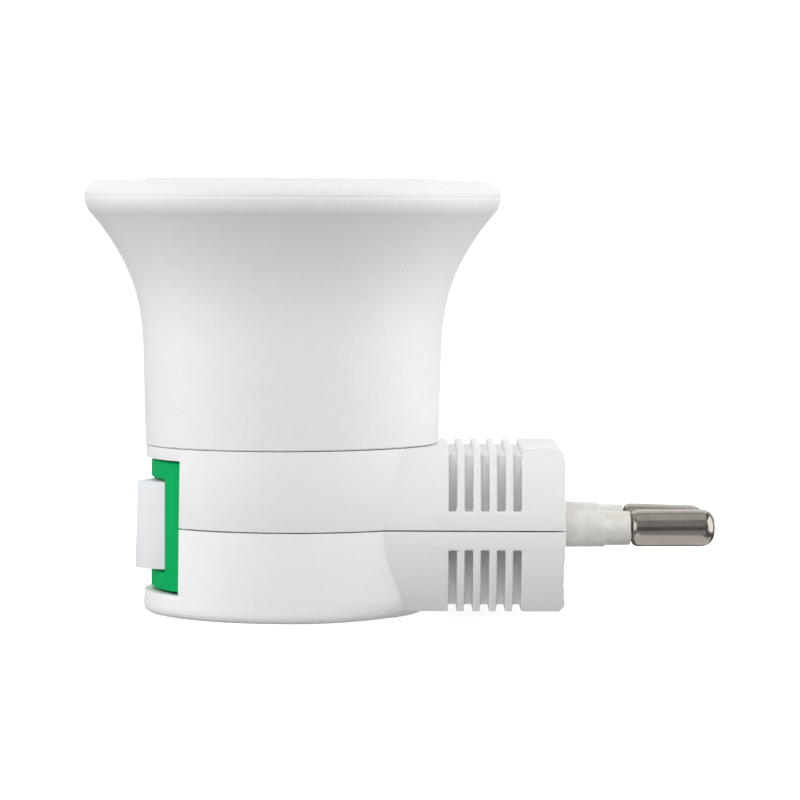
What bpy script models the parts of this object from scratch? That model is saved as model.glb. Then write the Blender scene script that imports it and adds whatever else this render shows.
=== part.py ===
"""Plug-in lamp holder: a flared screw socket on a two-pin mains plug, with a rocker switch.

Metres, +Z up. The origin is the centre of the flat base, +X runs to the plug pins, and the
rocker switch is on the -X side. The housing is two half-shells that meet at PARTING_Z.
"""

import math

import bmesh
import bpy
from mathutils import Matrix, Vector

# Clearances and walls
GAP = 0.0003
WALL = 0.0018
STRIP = 0.0004

# Radii from the inside out: 27 mm knuckle thread, insert, collar and round body
THREAD_MINOR_RADIUS = 0.01233
THREAD_CLEARANCE = 0.00187
INSERT_BORE = THREAD_MINOR_RADIUS + THREAD_CLEARANCE
INSERT_WALL = 0.0016
INSERT_RADIUS = INSERT_BORE + INSERT_WALL
COLLAR_ROOM = 0.00175
COLLAR_BORE = INSERT_RADIUS + COLLAR_ROOM
COLLAR_WALL = 0.0016
COLLAR_BOTTOM_RADIUS = COLLAR_BORE + COLLAR_WALL
COLLAR_STEP = 0.00005
BODY_RADIUS_TOP = COLLAR_BOTTOM_RADIUS + COLLAR_STEP
BODY_DRAFT = 0.0001
BODY_RADIUS_PARTING = BODY_RADIUS_TOP + BODY_DRAFT
CAVITY_RADIUS = BODY_RADIUS_TOP - WALL

# Housing: heights, seams and base
BASE_FILLET = 0.0030
FLOOR = 0.0018
PARTING_Z = 0.0117
LOWER_SHELL_TOP_Z = PARTING_Z - GAP / 2
UPPER_SHELL_BOTTOM_Z = PARTING_Z + GAP / 2
SEAM_DROP = 0.00095
SEAM_Z = 2 * PARTING_Z - SEAM_DROP
SEAM_TOP_Z = SEAM_Z - GAP / 2
SEAM_BOTTOM_Z = SEAM_Z + GAP / 2
CEILING_Z = SEAM_TOP_Z - WALL
LIP_WIDTH = 0.0007
LIP_HEIGHT = 0.0009

# Plug block: its width follows the pins, and its insides follow its end face
PIN_OFFSET_Y = 0.0095
BLOCK_END_X = 0.0356
BLOCK_BOTTOM_Z = 0.0012
BLOCK_TOP_DROP = 0.00035
BLOCK_TOP_Z = SEAM_Z - BLOCK_TOP_DROP
BLOCK_SIDE = 0.00545
BLOCK_HALF_WIDTH = PIN_OFFSET_Y + BLOCK_SIDE
BLOCK_SIDE_RADIUS = 0.0185
BLOCK_END_DRAFT = 0.0003
BLOCK_TOP_CORNER = 0.0018
BLOCK_BOTTOM_CORNER = 0.0012
BLOCK_SHELL = 0.0012
BLOCK_SEAT_LENGTH = 0.0094
BLOCK_CAVITY_END_X = BLOCK_END_X - BLOCK_SEAT_LENGTH
BLOCK_RIB = 0.0014
BLOCK_POCKET_START_X = BLOCK_CAVITY_END_X + BLOCK_RIB
BLOCK_POCKET_END_X = BLOCK_END_X - WALL
BLOCK_POCKET_SIDE = 0.0040
BLOCK_POCKET_HALF_WIDTH = PIN_OFFSET_Y - BLOCK_POCKET_SIDE

# Grip grooves on both sides of the block
GROOVE_COUNT = 5
GROOVE_PITCH = 0.00208
GROOVE_WIDTH = 0.0011
GROOVE_SETBACK = 0.0104
GROOVE_CENTRE_X = BLOCK_END_X - GROOVE_SETBACK
GROOVE_DEPTH = 0.00375
GROOVE_FLOOR_Y = BLOCK_HALF_WIDTH - GROOVE_DEPTH
GROOVE_LEDGE = 0.0025
GROOVE_END_DEPTH = 0.00075
GROOVE_BACKING = 0.0022
BLOCK_CAVITY_HALF_WIDTH = GROOVE_FLOOR_Y - GROOVE_BACKING

# Plug pins and their stepped sleeves
PIN_RADIUS = 0.0024
PIN_SHANK_RADIUS = 0.0016
PIN_REACH = 0.0195
PIN_TIP_X = BLOCK_END_X + PIN_REACH
PIN_NOSE = 0.0015
PIN_SHOULDER = 0.0013
PIN_SHOULDER_STEP = 0.0006
PIN_REAR_STEP = 0.0004
PIN_REAR_X = BLOCK_CAVITY_END_X + PIN_REAR_STEP
PIN_CUP_RADIUS = 0.0012
PIN_CUP_DEPTH = 0.0040
PIN_CONTACT_LENGTH = 0.01103
SLEEVE_END_X = PIN_TIP_X - PIN_CONTACT_LENGTH
SLEEVE_RADIUS = 0.0022
SLEEVE_BOSS_LENGTH = 0.00516
SLEEVE_BOSS_END_X = BLOCK_END_X + SLEEVE_BOSS_LENGTH
SLEEVE_BOSS_RADIUS = 0.0024
SLEEVE_FLANGE_DEPTH = 0.0039
SLEEVE_FLANGE_X = BLOCK_END_X - SLEEVE_FLANGE_DEPTH
SLEEVE_FLANGE = 0.0013
SLEEVE_FLANGE_END_X = SLEEVE_FLANGE_X + SLEEVE_FLANGE
SLEEVE_FLANGE_RADIUS = 0.0032

# Bell collar
BELL_HEIGHT = 0.03395
RIM_TOP_Z = SEAM_Z + BELL_HEIGHT
RIM_RADIUS = 0.0273
RIM_LIP_RADIUS = 0.00205
COLLAR_DRAFT = math.radians(1.9)
FLARE_HEIGHT = 0.0219
FLARE_START_Z = RIM_TOP_Z - FLARE_HEIGHT
FLARE_START_RADIUS = COLLAR_BOTTOM_RADIUS + (FLARE_START_Z - SEAM_BOTTOM_Z) * math.tan(COLLAR_DRAFT)
FLARE_END_ANGLE = math.radians(37.0)
FLARE_PULL = 0.0088
COLLAR_TOP_THICKNESS = 0.0049
COLLAR_BORE_TOP_Z = RIM_TOP_Z - COLLAR_TOP_THICKNESS

# Socket insert: the sleeve that carries the screw shell
INSERT_BRIM = 0.0036
INSERT_FLANGE_RADIUS = INSERT_RADIUS + INSERT_BRIM
INSERT_FLANGE = 0.0017
INSERT_PROUD = 0.0005
INSERT_TOP_Z = RIM_TOP_Z + INSERT_PROUD
INSERT_LIFT = 0.00155
INSERT_BOTTOM_Z = SEAM_Z + INSERT_LIFT
INSERT_FLOOR = 0.0029
INSERT_FLOOR_HOLE = 0.0055
MOUTH_CHAMFER = 0.0011
MOUTH_RADIUS = INSERT_BORE + MOUTH_CHAMFER
MOUTH_CHAMFER_DEPTH = 0.0050
SPIGOT_HEIGHT = 0.0022

# Contact base, between the insert's floor and the screw shell
CONTACT_BASE_THICKNESS = 0.0028
CONTACT_BASE_Z = INSERT_BOTTOM_Z + INSERT_FLOOR + GAP
CONTACT_BASE_TOP_Z = CONTACT_BASE_Z + CONTACT_BASE_THICKNESS

# Screw shell, with the knuckle thread
THREAD_DEPTH = 0.0011
THREAD_PITCH = 0.00362
THREAD_ROWS_PER_TURN = 4
SHELL_METAL = 0.00035
SHELL_FLANGE = 0.00313
SHELL_FLANGE_RADIUS = THREAD_MINOR_RADIUS - SHELL_FLANGE
SHELL_BOTTOM_Z = CONTACT_BASE_TOP_Z + GAP
SHELL_TOP_DEPTH = 0.0069
SHELL_HEIGHT = INSERT_TOP_Z - SHELL_TOP_DEPTH - SHELL_BOTTOM_Z

# Contacts and rivets
CONTACT_HALF_WIDTH = 0.0018
TONGUE_ROOM = 0.0042
CENTRE_RIVET_X = TONGUE_ROOM - SHELL_FLANGE_RADIUS
CENTRE_TAIL_REACH = 0.0031
CENTRE_TAIL_X = CENTRE_RIVET_X + CENTRE_TAIL_REACH
SIDE_RIVET_INSET = 0.00133
SIDE_RIVET_X = THREAD_MINOR_RADIUS - SIDE_RIVET_INSET
SIDE_TAIL_REACH = 0.0028
SIDE_TAIL_X = SIDE_RIVET_X - SIDE_TAIL_REACH
WIRE_HOLE_ROOM = 0.0003
WIRE_HOLE_RADIUS = SIDE_TAIL_X - WIRE_HOLE_ROOM
RIVET_RADIUS = 0.0009
RIVET_HEAD_RADIUS = 0.0015
RIVET_HEAD = 0.0005
CONTACT_RISE = 0.0032
TAIL_LENGTH = 0.0011
TAIL_BOTTOM_Z = INSERT_BOTTOM_Z - TAIL_LENGTH

# Switch: frame and box, placed from the body's wall and centred on the parting plane
SWITCH_RECESS = 0.0008
SWITCH_FACE_RADIUS = BODY_RADIUS_PARTING - SWITCH_RECESS
SWITCH_HALF_WIDTH = 0.01265
SWITCH_FLOOR_Z = 0.0033
SWITCH_HEIGHT = 2 * (PARTING_Z - SWITCH_FLOOR_Z)
SWITCH_EDGE_RADIUS = 0.0016
SWITCH_EDGE_Y = SWITCH_HALF_WIDTH - SWITCH_EDGE_RADIUS
SWITCH_EDGE_X = -math.sqrt((SWITCH_FACE_RADIUS - SWITCH_EDGE_RADIUS) ** 2 - SWITCH_EDGE_Y ** 2)
SWITCH_FRAME_DEPTH = 0.0010
SWITCH_FRAME_BACK_X = SWITCH_EDGE_X + SWITCH_FRAME_DEPTH
PIVOT_DEPTH = 0.0073
PIVOT_X = PIVOT_DEPTH - BODY_RADIUS_PARTING

# Switch: rocker, and the box that its size sets
ROCKER_RADIUS = 0.00935
ROCKER_MARGIN = 0.0027
ROCKER_HEIGHT = SWITCH_HEIGHT - 2 * ROCKER_MARGIN
ROCKER_TIP_ANGLE = math.radians(42.0)
ROCKER_TILT = math.radians(12.0)
ROCKER_DISH = 0.0006
ROCKER_WALL = 0.0012
ROCKER_BACK = 0.0016
TRUNNION_RADIUS = 0.0014
TRUNNION_LENGTH = 0.0013
SWITCH_SIDE_WALL = 0.00185
SWITCH_BOX_HALF_WIDTH = ROCKER_RADIUS + SWITCH_SIDE_WALL
SWITCH_BACK_ROOM = 0.00105
SWITCH_BACK_X = PIVOT_X + ROCKER_RADIUS + SWITCH_BACK_ROOM
SWITCH_BACK_WALL = 0.0014
CHAMBER_STEP = 0.0039
CHAMBER_INSET = 0.00145
CHAMBER_HALF_WIDTH = ROCKER_RADIUS - CHAMBER_INSET

# Switch: plunger, spring, lever and terminals
PLUNGER_TUBE_RADIUS = 0.0022
PLUNGER_TUBE_END = 0.0030
PLUNGER_BORE = 0.0014
PLUNGER_BORE_START = -0.0036
PLUNGER_NOSE_RADIUS = 0.0007
PLUNGER_INSET = 0.00345
PLUNGER_TIP = ROCKER_RADIUS - PLUNGER_INSET
PLUNGER_START = 0.0014
SPRING_WIRE_RADIUS = 0.00018
SPRING_TURNS = 5
LEVER_THICKNESS = 0.0005
LEVER_END_ROOM = 0.0017
LEVER_HALF_LENGTH = CHAMBER_HALF_WIDTH - LEVER_END_ROOM
LEVER_HALF_WIDTH = 0.0015
LEVER_TILT = math.radians(6.0)
LEVER_PLAY = 0.00015
LEVER_FACE_X = PIVOT_X + PLUNGER_TIP + LEVER_PLAY
LEVER_PIVOT_X = LEVER_FACE_X + LEVER_THICKNESS
CONTACT_DOT_RADIUS = 0.0007
CONTACT_DOT_HEIGHT = 0.0005
CONTACT_DOT_INSET = 0.0012
CONTACT_DOT_Y = LEVER_HALF_LENGTH - CONTACT_DOT_INSET
TERMINAL_THICKNESS = 0.0006
TERMINAL_HALF_HEIGHT = 0.0013
TERMINAL_TAIL = 0.0041
TERMINAL_END_X = SWITCH_BACK_X + TERMINAL_TAIL

# Wires
WIRE_RADIUS = 0.00085
WIRE_DIP = 0.0012

# Screws: two behind the switch and one under the block, and two up into the insert
SCREW_RADIUS = 0.0013
SCREW_HEAD_RADIUS = 0.0024
SCREW_HEAD = 0.0016
SCREW_SINK = 0.0022
SCREW_BOSS_RADIUS = 0.0030
SCREW_COVER = 0.0033
SCREW_LENGTH = CEILING_Z - SCREW_SINK - SCREW_COVER
RECESS_REACH = 0.0015
RECESS_HALF_WIDTH = 0.0003
RECESS_DEPTH = 0.0009
SHELL_SCREW_SETBACK = 0.0046
SHELL_SCREW_X = SWITCH_BACK_X + SHELL_SCREW_SETBACK
SHELL_SCREW_INSET = 0.0048
SHELL_SCREW_Y = CAVITY_RADIUS - SHELL_SCREW_INSET
BLOCK_SCREW_INSET = 0.0040
BLOCK_SCREW_X = BLOCK_CAVITY_END_X - BLOCK_SCREW_INSET
SHELL_SCREW_PLACES = [(SHELL_SCREW_X, SHELL_SCREW_Y), (SHELL_SCREW_X, -SHELL_SCREW_Y), (BLOCK_SCREW_X, 0.0)]
SOCKET_SCREW_SETBACK = 0.0051
SOCKET_SCREW_X = SHELL_SCREW_X + SOCKET_SCREW_SETBACK
SOCKET_SCREW_INSET = 0.0042
SOCKET_SCREW_Y = SHELL_SCREW_Y - SOCKET_SCREW_INSET

# Pieces whose many coaxial cuts the exact solver leaves open
MANY_CUT_PIECES = ("lower_shell", "upper_shell", "contact_base")

# Facets round the large, middle and small pieces
ROUND_STEPS = 40
PIN_STEPS = 24
THREAD_STEPS = 20
SMALL_STEPS = 16
RIVET_STEPS = 12


def clear_scene():
    for item in list(bpy.data.objects):
        bpy.data.objects.remove(item, do_unlink=True)


def make_material(name, colour, roughness, metallic=0.0):
    material = bpy.data.materials.new(name)
    material.use_nodes = True
    shader = material.node_tree.nodes["Principled BSDF"]
    shader.inputs["Base Color"].default_value = (*colour, 1.0)
    shader.inputs["Roughness"].default_value = roughness
    shader.inputs["Metallic"].default_value = metallic
    material.diffuse_color = (*colour, 1.0)
    return material


def make_object(name, shape, material=None):
    """Turn a bmesh into an object with outward faces and smooth round surfaces."""
    bmesh.ops.remove_doubles(shape, verts=shape.verts, dist=1e-7)
    bmesh.ops.dissolve_degenerate(shape, edges=shape.edges, dist=1e-7)
    bmesh.ops.recalc_face_normals(shape, faces=shape.faces)
    mesh = bpy.data.meshes.new(name)
    shape.to_mesh(mesh)
    shape.free()
    mesh.shade_smooth()
    mesh.set_sharp_from_angle(angle=math.radians(35))
    item = bpy.data.objects.new(name, mesh)
    bpy.context.collection.objects.link(item)
    if material is not None:
        mesh.materials.append(material)
    return item


def combine(target, tool, operation):
    """Join, cut or intersect the target with a helper solid, which is used up."""
    modifier = target.modifiers.new(operation, "BOOLEAN")
    modifier.operation = operation
    modifier.solver = "MANIFOLD" if target.name in MANY_CUT_PIECES else "EXACT"
    modifier.object = tool
    bpy.context.view_layer.objects.active = target
    bpy.ops.object.modifier_apply(modifier=modifier.name)
    bpy.data.objects.remove(tool, do_unlink=True)


def cut(target, tool):
    combine(target, tool, "DIFFERENCE")


def join(target, tool):
    combine(target, tool, "UNION")


def arc(centre, radius, start, end, steps):
    """Points on an arc, both ends included."""
    points = []
    for index in range(steps + 1):
        angle = start + (end - start) * index / steps
        points.append((centre[0] + radius * math.cos(angle), centre[1] + radius * math.sin(angle)))
    return points


def turned(name, profile, steps=ROUND_STEPS, material=None, axis="Z", centre=(0.0, 0.0, 0.0)):
    """Spin a closed (radius, height) profile round Z, or round an axis laid along X."""
    shape = bmesh.new()
    corners = [shape.verts.new((radius, 0.0, height)) for radius, height in profile]
    edges = []
    for index, corner in enumerate(corners):
        before = corners[index - 1]
        if max(before.co.x, corner.co.x) > GAP / 100:
            edges.append(shape.edges.new((before, corner)))
    bmesh.ops.spin(
        shape, geom=corners + edges, cent=(0, 0, 0), axis=(0, 0, 1),
        angle=math.tau, steps=steps, use_merge=True, use_duplicate=False,
    )
    if axis == "X":
        bmesh.ops.transform(shape, verts=shape.verts, matrix=Matrix.Rotation(math.pi / 2, 4, "Y"))
    bmesh.ops.translate(shape, verts=shape.verts, vec=Vector(centre))
    return make_object(name, shape, material)


def rod(name, radius, start, end, axis="Z", centre=(0.0, 0.0), steps=SMALL_STEPS):
    """A plain cylinder from start to end along Z at (x, y), or along X at (y, z)."""
    profile = [(0.0, start), (radius, start), (radius, end), (0.0, end)]
    place = (centre[0], centre[1], 0.0) if axis == "Z" else (0.0, centre[0], centre[1])
    return turned(name, profile, steps, None, axis, place)


def extruded(name, outline, start, end, plane="XY", material=None):
    """Extrude a closed outline between two offsets along the third axis of its plane."""
    shape = bmesh.new()
    if plane == "XY":
        corners = [shape.verts.new((a, b, start)) for a, b in outline]
        travel = Vector((0, 0, end - start))
    elif plane == "XZ":
        corners = [shape.verts.new((a, start, b)) for a, b in outline]
        travel = Vector((0, end - start, 0))
    else:
        corners = [shape.verts.new((start, a, b)) for a, b in outline]
        travel = Vector((end - start, 0, 0))
    face = shape.faces.new(corners)
    grown = bmesh.ops.extrude_face_region(shape, geom=[face])
    moved = [item for item in grown["geom"] if isinstance(item, bmesh.types.BMVert)]
    bmesh.ops.translate(shape, verts=moved, vec=travel)
    return make_object(name, shape, material)


def box(name, low, high):
    outline = [(low[0], low[1]), (high[0], low[1]), (high[0], high[1]), (low[0], high[1])]
    return extruded(name, outline, low[2], high[2])


def strip_outline(path, thickness):
    """The closed outline of a bent strip: a path offset by half its thickness to both sides."""
    left = []
    right = []
    for index, point in enumerate(path):
        before = Vector(path[max(index - 1, 0)])
        after = Vector(path[min(index + 1, len(path) - 1)])
        here = Vector(point)
        into = (here - before).normalized() if index > 0 else (after - here).normalized()
        out = (after - here).normalized() if index < len(path) - 1 else into
        middle = (into + out).normalized()
        normal = Vector((-middle.y, middle.x))
        reach = thickness / 2 / max(middle.dot(into), 0.5)
        left.append(tuple(here + normal * reach))
        right.append(tuple(here - normal * reach))
    return left + right[::-1]


def bezier(start, start_pull, end_pull, end, steps):
    points = []
    for index in range(steps + 1):
        t = index / steps
        s = 1.0 - t
        blend = [s ** 3, 3 * s * s * t, 3 * s * t * t, t ** 3]
        knots = [start, start_pull, end_pull, end]
        points.append(tuple(sum(w * k[axis] for w, k in zip(blend, knots)) for axis in (0, 1)))
    return points


def tube(name, path, radius, material, bend_steps=3, sides=1):
    """A wire: a round bar swept along a smooth curve through the path's points."""
    curve = bpy.data.curves.new(name, "CURVE")
    curve.dimensions = "3D"
    points = [Vector(point) for point in path]
    smooth = []
    for index in range(len(points) - 1):
        before = points[max(index - 1, 0)]
        start = points[index]
        end = points[index + 1]
        after = points[min(index + 2, len(points) - 1)]
        for step in range(bend_steps):
            t = step / bend_steps
            smooth.append(
                0.5 * (2 * start + (end - before) * t
                       + (2 * before - 5 * start + 4 * end - after) * t ** 2
                       + (3 * start - before - 3 * end + after) * t ** 3)
            )
    smooth.append(points[-1])
    spline = curve.splines.new("POLY")
    spline.points.add(len(smooth) - 1)
    for target, point in zip(spline.points, smooth):
        target.co = (*point, 1.0)
    curve.bevel_depth = radius
    curve.bevel_resolution = sides
    curve.use_fill_caps = True
    item = bpy.data.objects.new(name, curve)
    bpy.context.collection.objects.link(item)
    curve.materials.append(material)
    return item


def coil(name, radius, wire_radius, start, end, turns, material):
    """A compression spring along X, with a round wire and capped ends."""
    steps_per_turn = 12
    total = turns * steps_per_turn
    path = []
    for index in range(total + 1):
        angle = math.tau * index / steps_per_turn
        along = start + (end - start) * index / total
        path.append((along, radius * math.cos(angle), radius * math.sin(angle)))
    return tube(name, path, wire_radius, material, bend_steps=1, sides=0)


def block_half_width(z):
    """The block is widest at the parting plane, and its sides are arcs."""
    centre_y = BLOCK_HALF_WIDTH - BLOCK_SIDE_RADIUS
    return centre_y + math.sqrt(BLOCK_SIDE_RADIUS ** 2 - (z - PARTING_Z) ** 2)


def block_solid(name, low, high):
    """The outside of the plug block between two heights."""
    side_steps = 6
    heights = [low + (high - low) * i / side_steps for i in range(side_steps + 1)]
    section = [(-block_half_width(z), z) for z in heights]
    section += [(block_half_width(z), z) for z in reversed(heights)]
    solid = extruded(name, section, 0.0, BLOCK_END_X + GAP, "YZ")
    above = high > PARTING_Z + GAP
    corner = BLOCK_TOP_CORNER if above else BLOCK_BOTTOM_CORNER
    far_x = BLOCK_END_X - BLOCK_END_DRAFT
    if above:
        round_end = arc((far_x - corner, high - corner), corner, 0.0, math.pi / 2, 5)
        outline = [(-GAP, low), (BLOCK_END_X, low)] + round_end + [(-GAP, high)]
    else:
        round_end = arc((far_x - corner, low + corner), corner, -math.pi / 2, 0.0, 5)
        outline = [(-GAP, low)] + round_end + [(BLOCK_END_X, high), (-GAP, high)]
    beyond = BLOCK_HALF_WIDTH + WALL
    combine(solid, extruded("block_side", outline, -beyond, beyond, "XZ"), "INTERSECT")
    return solid


def cut_grooves(shell, ledge_z, end_z, beyond_z):
    """Blind grip grooves: a flat floor down each side, and a shallow channel across the end face."""
    low, high = sorted((ledge_z, beyond_z))
    end_low, end_high = sorted((end_z, beyond_z))
    for index in range(GROOVE_COUNT):
        centre = GROOVE_CENTRE_X + (index - (GROOVE_COUNT - 1) / 2) * GROOVE_PITCH
        left = centre - GROOVE_WIDTH / 2
        right = centre + GROOVE_WIDTH / 2
        outer = BLOCK_HALF_WIDTH + WALL
        cut(shell, box("groove", (left, GROOVE_FLOOR_Y, low), (right, outer, high)))
        cut(shell, box("groove", (left, -outer, low), (right, -GROOVE_FLOOR_Y, high)))
        cut(shell, box("groove", (left, -outer, end_low), (right, outer, end_high)))


def cut_pin_seats(shell):
    """The hole, flange slot and shank channel of each pin, split by the parting plane."""
    slot_start = SLEEVE_FLANGE_X - GAP
    slot_end = SLEEVE_FLANGE_END_X + GAP
    channel_start = BLOCK_CAVITY_END_X - 3 * WALL
    beyond_end = BLOCK_END_X + WALL
    for side in (-1, 1):
        centre = (side * PIN_OFFSET_Y, PARTING_Z)
        cut(shell, rod("pin_hole", SLEEVE_BOSS_RADIUS + GAP, SLEEVE_FLANGE_END_X, beyond_end, "X", centre))
        cut(shell, rod("pin_slot", SLEEVE_FLANGE_RADIUS + GAP, slot_start, slot_end, "X", centre))
        cut(shell, rod("pin_channel", PIN_SHANK_RADIUS + GAP, channel_start, SLEEVE_FLANGE_X, "X", centre))


def cut_switch_opening(shell):
    half = SWITCH_HALF_WIDTH + GAP
    low = PARTING_Z - SWITCH_HEIGHT / 2 - GAP
    high = PARTING_Z + SWITCH_HEIGHT / 2 + GAP
    far = -BODY_RADIUS_PARTING - WALL
    cut(shell, box("switch_opening", (far, -half, low), (SWITCH_FRAME_BACK_X, half, high)))


def switch_ribs(low, high):
    """Upright ribs that grip the switch box from both sides, out to the round wall."""
    ribs = []
    inner = SWITCH_BOX_HALF_WIDTH + GAP
    for side in (-1, 1):
        y_range = sorted((side * inner, side * (CAVITY_RADIUS - WALL / 4)))
        start_x = SWITCH_BACK_X - 2 * WALL
        ribs.append(box("switch_rib", (start_x, y_range[0], low), (start_x + BLOCK_SHELL, y_range[1], high)))
    return ribs


def under_block(place):
    """The block's screw is the one on the centre line."""
    return place[1] == 0.0


def shell_screw_seat(place):
    """The height that a shell screw's head bears on: the floor is higher under the block."""
    return SCREW_SINK + BLOCK_BOTTOM_Z if under_block(place) else SCREW_SINK


def build_lower_shell(material):
    top = LOWER_SHELL_TOP_Z
    lower_radius = BODY_RADIUS_PARTING
    fillet = arc((lower_radius - BASE_FILLET, BASE_FILLET), BASE_FILLET, -math.pi / 2, 0.0, 6)
    outer = [(0.0, 0.0)] + fillet + [(lower_radius, top), (0.0, top)]
    shell = turned("lower_shell", outer, material=material)
    join(shell, block_solid("lower_block", BLOCK_BOTTOM_Z, top))
    lip_top = top + GAP + LIP_HEIGHT
    lip = [(CAVITY_RADIUS - WALL / 3, top - WALL), (CAVITY_RADIUS + LIP_WIDTH, top - WALL),
           (CAVITY_RADIUS + LIP_WIDTH, lip_top), (CAVITY_RADIUS - WALL / 3, lip_top)]
    join(shell, turned("lip", lip))
    cut(shell, rod("cavity", CAVITY_RADIUS, FLOOR, lip_top + WALL, steps=ROUND_STEPS))
    block_floor = BLOCK_BOTTOM_Z + GROOVE_END_DEPTH + BLOCK_SHELL
    half = BLOCK_CAVITY_HALF_WIDTH
    cut(shell, box("block_cavity", (0.0, -half, block_floor), (BLOCK_CAVITY_END_X, half, lip_top + WALL)))
    half = BLOCK_POCKET_HALF_WIDTH
    cut(shell, box("block_pocket", (BLOCK_POCKET_START_X, -half, block_floor),
                   (BLOCK_POCKET_END_X, half, top + WALL)))
    for rib in switch_ribs(FLOOR / 2, top):
        join(shell, rib)
    for place in SHELL_SCREW_PLACES:
        floor = block_floor - FLOOR / 4 if under_block(place) else FLOOR / 2
        join(shell, rod("boss", SCREW_BOSS_RADIUS, floor, top, "Z", place))
        cut(shell, rod("screw_hole", SCREW_RADIUS + GAP, -WALL, top + WALL, "Z", place))
        cut(shell, rod("head_sink", SCREW_HEAD_RADIUS + GAP, -WALL, shell_screw_seat(place), "Z", place))
    cut_switch_opening(shell)
    cut_pin_seats(shell)
    cut_grooves(shell, PARTING_Z - GROOVE_LEDGE, BLOCK_BOTTOM_Z + GROOVE_END_DEPTH, -WALL)
    return shell


def build_upper_shell(material):
    low = UPPER_SHELL_BOTTOM_Z
    high = SEAM_TOP_Z
    outer = [(0.0, low), (BODY_RADIUS_PARTING, low), (BODY_RADIUS_TOP, high), (0.0, high)]
    shell = turned("upper_shell", outer, material=material)
    join(shell, block_solid("upper_block", low, BLOCK_TOP_Z))
    spigot_radius = COLLAR_BORE - GAP
    spigot_inner = INSERT_RADIUS + GAP
    spigot = [(spigot_inner, high - WALL / 2), (spigot_radius, high - WALL / 2),
              (spigot_radius, high + SPIGOT_HEIGHT), (spigot_inner, high + SPIGOT_HEIGHT)]
    join(shell, turned("spigot", spigot))
    cut(shell, rod("cavity", CAVITY_RADIUS, low - WALL, CEILING_Z, steps=ROUND_STEPS))
    block_ceiling = BLOCK_TOP_Z - GROOVE_END_DEPTH - BLOCK_SHELL
    half = BLOCK_CAVITY_HALF_WIDTH
    cut(shell, box("block_cavity", (0.0, -half, low - WALL), (BLOCK_CAVITY_END_X, half, block_ceiling)))
    half = BLOCK_POCKET_HALF_WIDTH
    cut(shell, box("block_pocket", (BLOCK_POCKET_START_X, -half, low - WALL),
                   (BLOCK_POCKET_END_X, half, block_ceiling)))
    cut(shell, rod("wire_hole", WIRE_HOLE_RADIUS, CEILING_Z - WALL, high + WALL))
    for rib in switch_ribs(low, CEILING_Z + WALL / 2):
        join(shell, rib)
    for place in SHELL_SCREW_PLACES:
        ceiling = block_ceiling if under_block(place) else CEILING_Z
        join(shell, rod("boss", SCREW_BOSS_RADIUS, low, ceiling + WALL / 4, "Z", place))
        screw_top = shell_screw_seat(place) + SCREW_LENGTH
        cut(shell, rod("pilot", SCREW_RADIUS + GAP, low - WALL, screw_top + GAP, "Z", place))
    rebate_top = LOWER_SHELL_TOP_Z + GAP + LIP_HEIGHT + GAP
    rebate_inner = CAVITY_RADIUS - GAP
    rebate_outer = CAVITY_RADIUS + LIP_WIDTH + GAP
    rebate = [(rebate_inner, low - WALL), (rebate_outer, low - WALL), (rebate_outer, rebate_top),
              (rebate_inner, rebate_top)]
    cut(shell, turned("rebate", rebate))
    for side in (-1, 1):
        place = (SOCKET_SCREW_X, side * SOCKET_SCREW_Y)
        cut(shell, rod("socket_screw_hole", SCREW_RADIUS + GAP, CEILING_Z - WALL, high + WALL, "Z", place))
    cut_switch_opening(shell)
    cut_pin_seats(shell)
    cut_grooves(shell, PARTING_Z + GROOVE_LEDGE, BLOCK_TOP_Z - GROOVE_END_DEPTH, BLOCK_TOP_Z + WALL)
    return shell


def build_collar(material):
    """The bell: a drafted tube, a smooth flare and a rounded rim with a flat top."""
    lip_centre = (RIM_RADIUS - RIM_LIP_RADIUS, RIM_TOP_Z - RIM_LIP_RADIUS)
    lip = arc(lip_centre, RIM_LIP_RADIUS, -FLARE_END_ANGLE, math.pi / 2, 7)
    start = Vector((FLARE_START_RADIUS, FLARE_START_Z))
    end = Vector(lip[0])
    start_pull = start + FLARE_PULL * Vector((math.sin(COLLAR_DRAFT), math.cos(COLLAR_DRAFT)))
    end_pull = end - FLARE_PULL * Vector((math.sin(FLARE_END_ANGLE), math.cos(FLARE_END_ANGLE)))
    flare = bezier(start, start_pull, end_pull, end, 9)
    recess_z = INSERT_TOP_Z - INSERT_FLANGE - GAP
    profile = [(COLLAR_BOTTOM_RADIUS, SEAM_BOTTOM_Z)] + flare + lip[1:]
    profile += [(INSERT_FLANGE_RADIUS + GAP, RIM_TOP_Z), (INSERT_FLANGE_RADIUS + GAP, recess_z),
                (INSERT_RADIUS + GAP, recess_z), (INSERT_RADIUS + GAP, COLLAR_BORE_TOP_Z),
                (COLLAR_BORE, COLLAR_BORE_TOP_Z - WALL), (COLLAR_BORE, SEAM_BOTTOM_Z)]
    return turned("bell_collar", profile, material=material)


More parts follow.
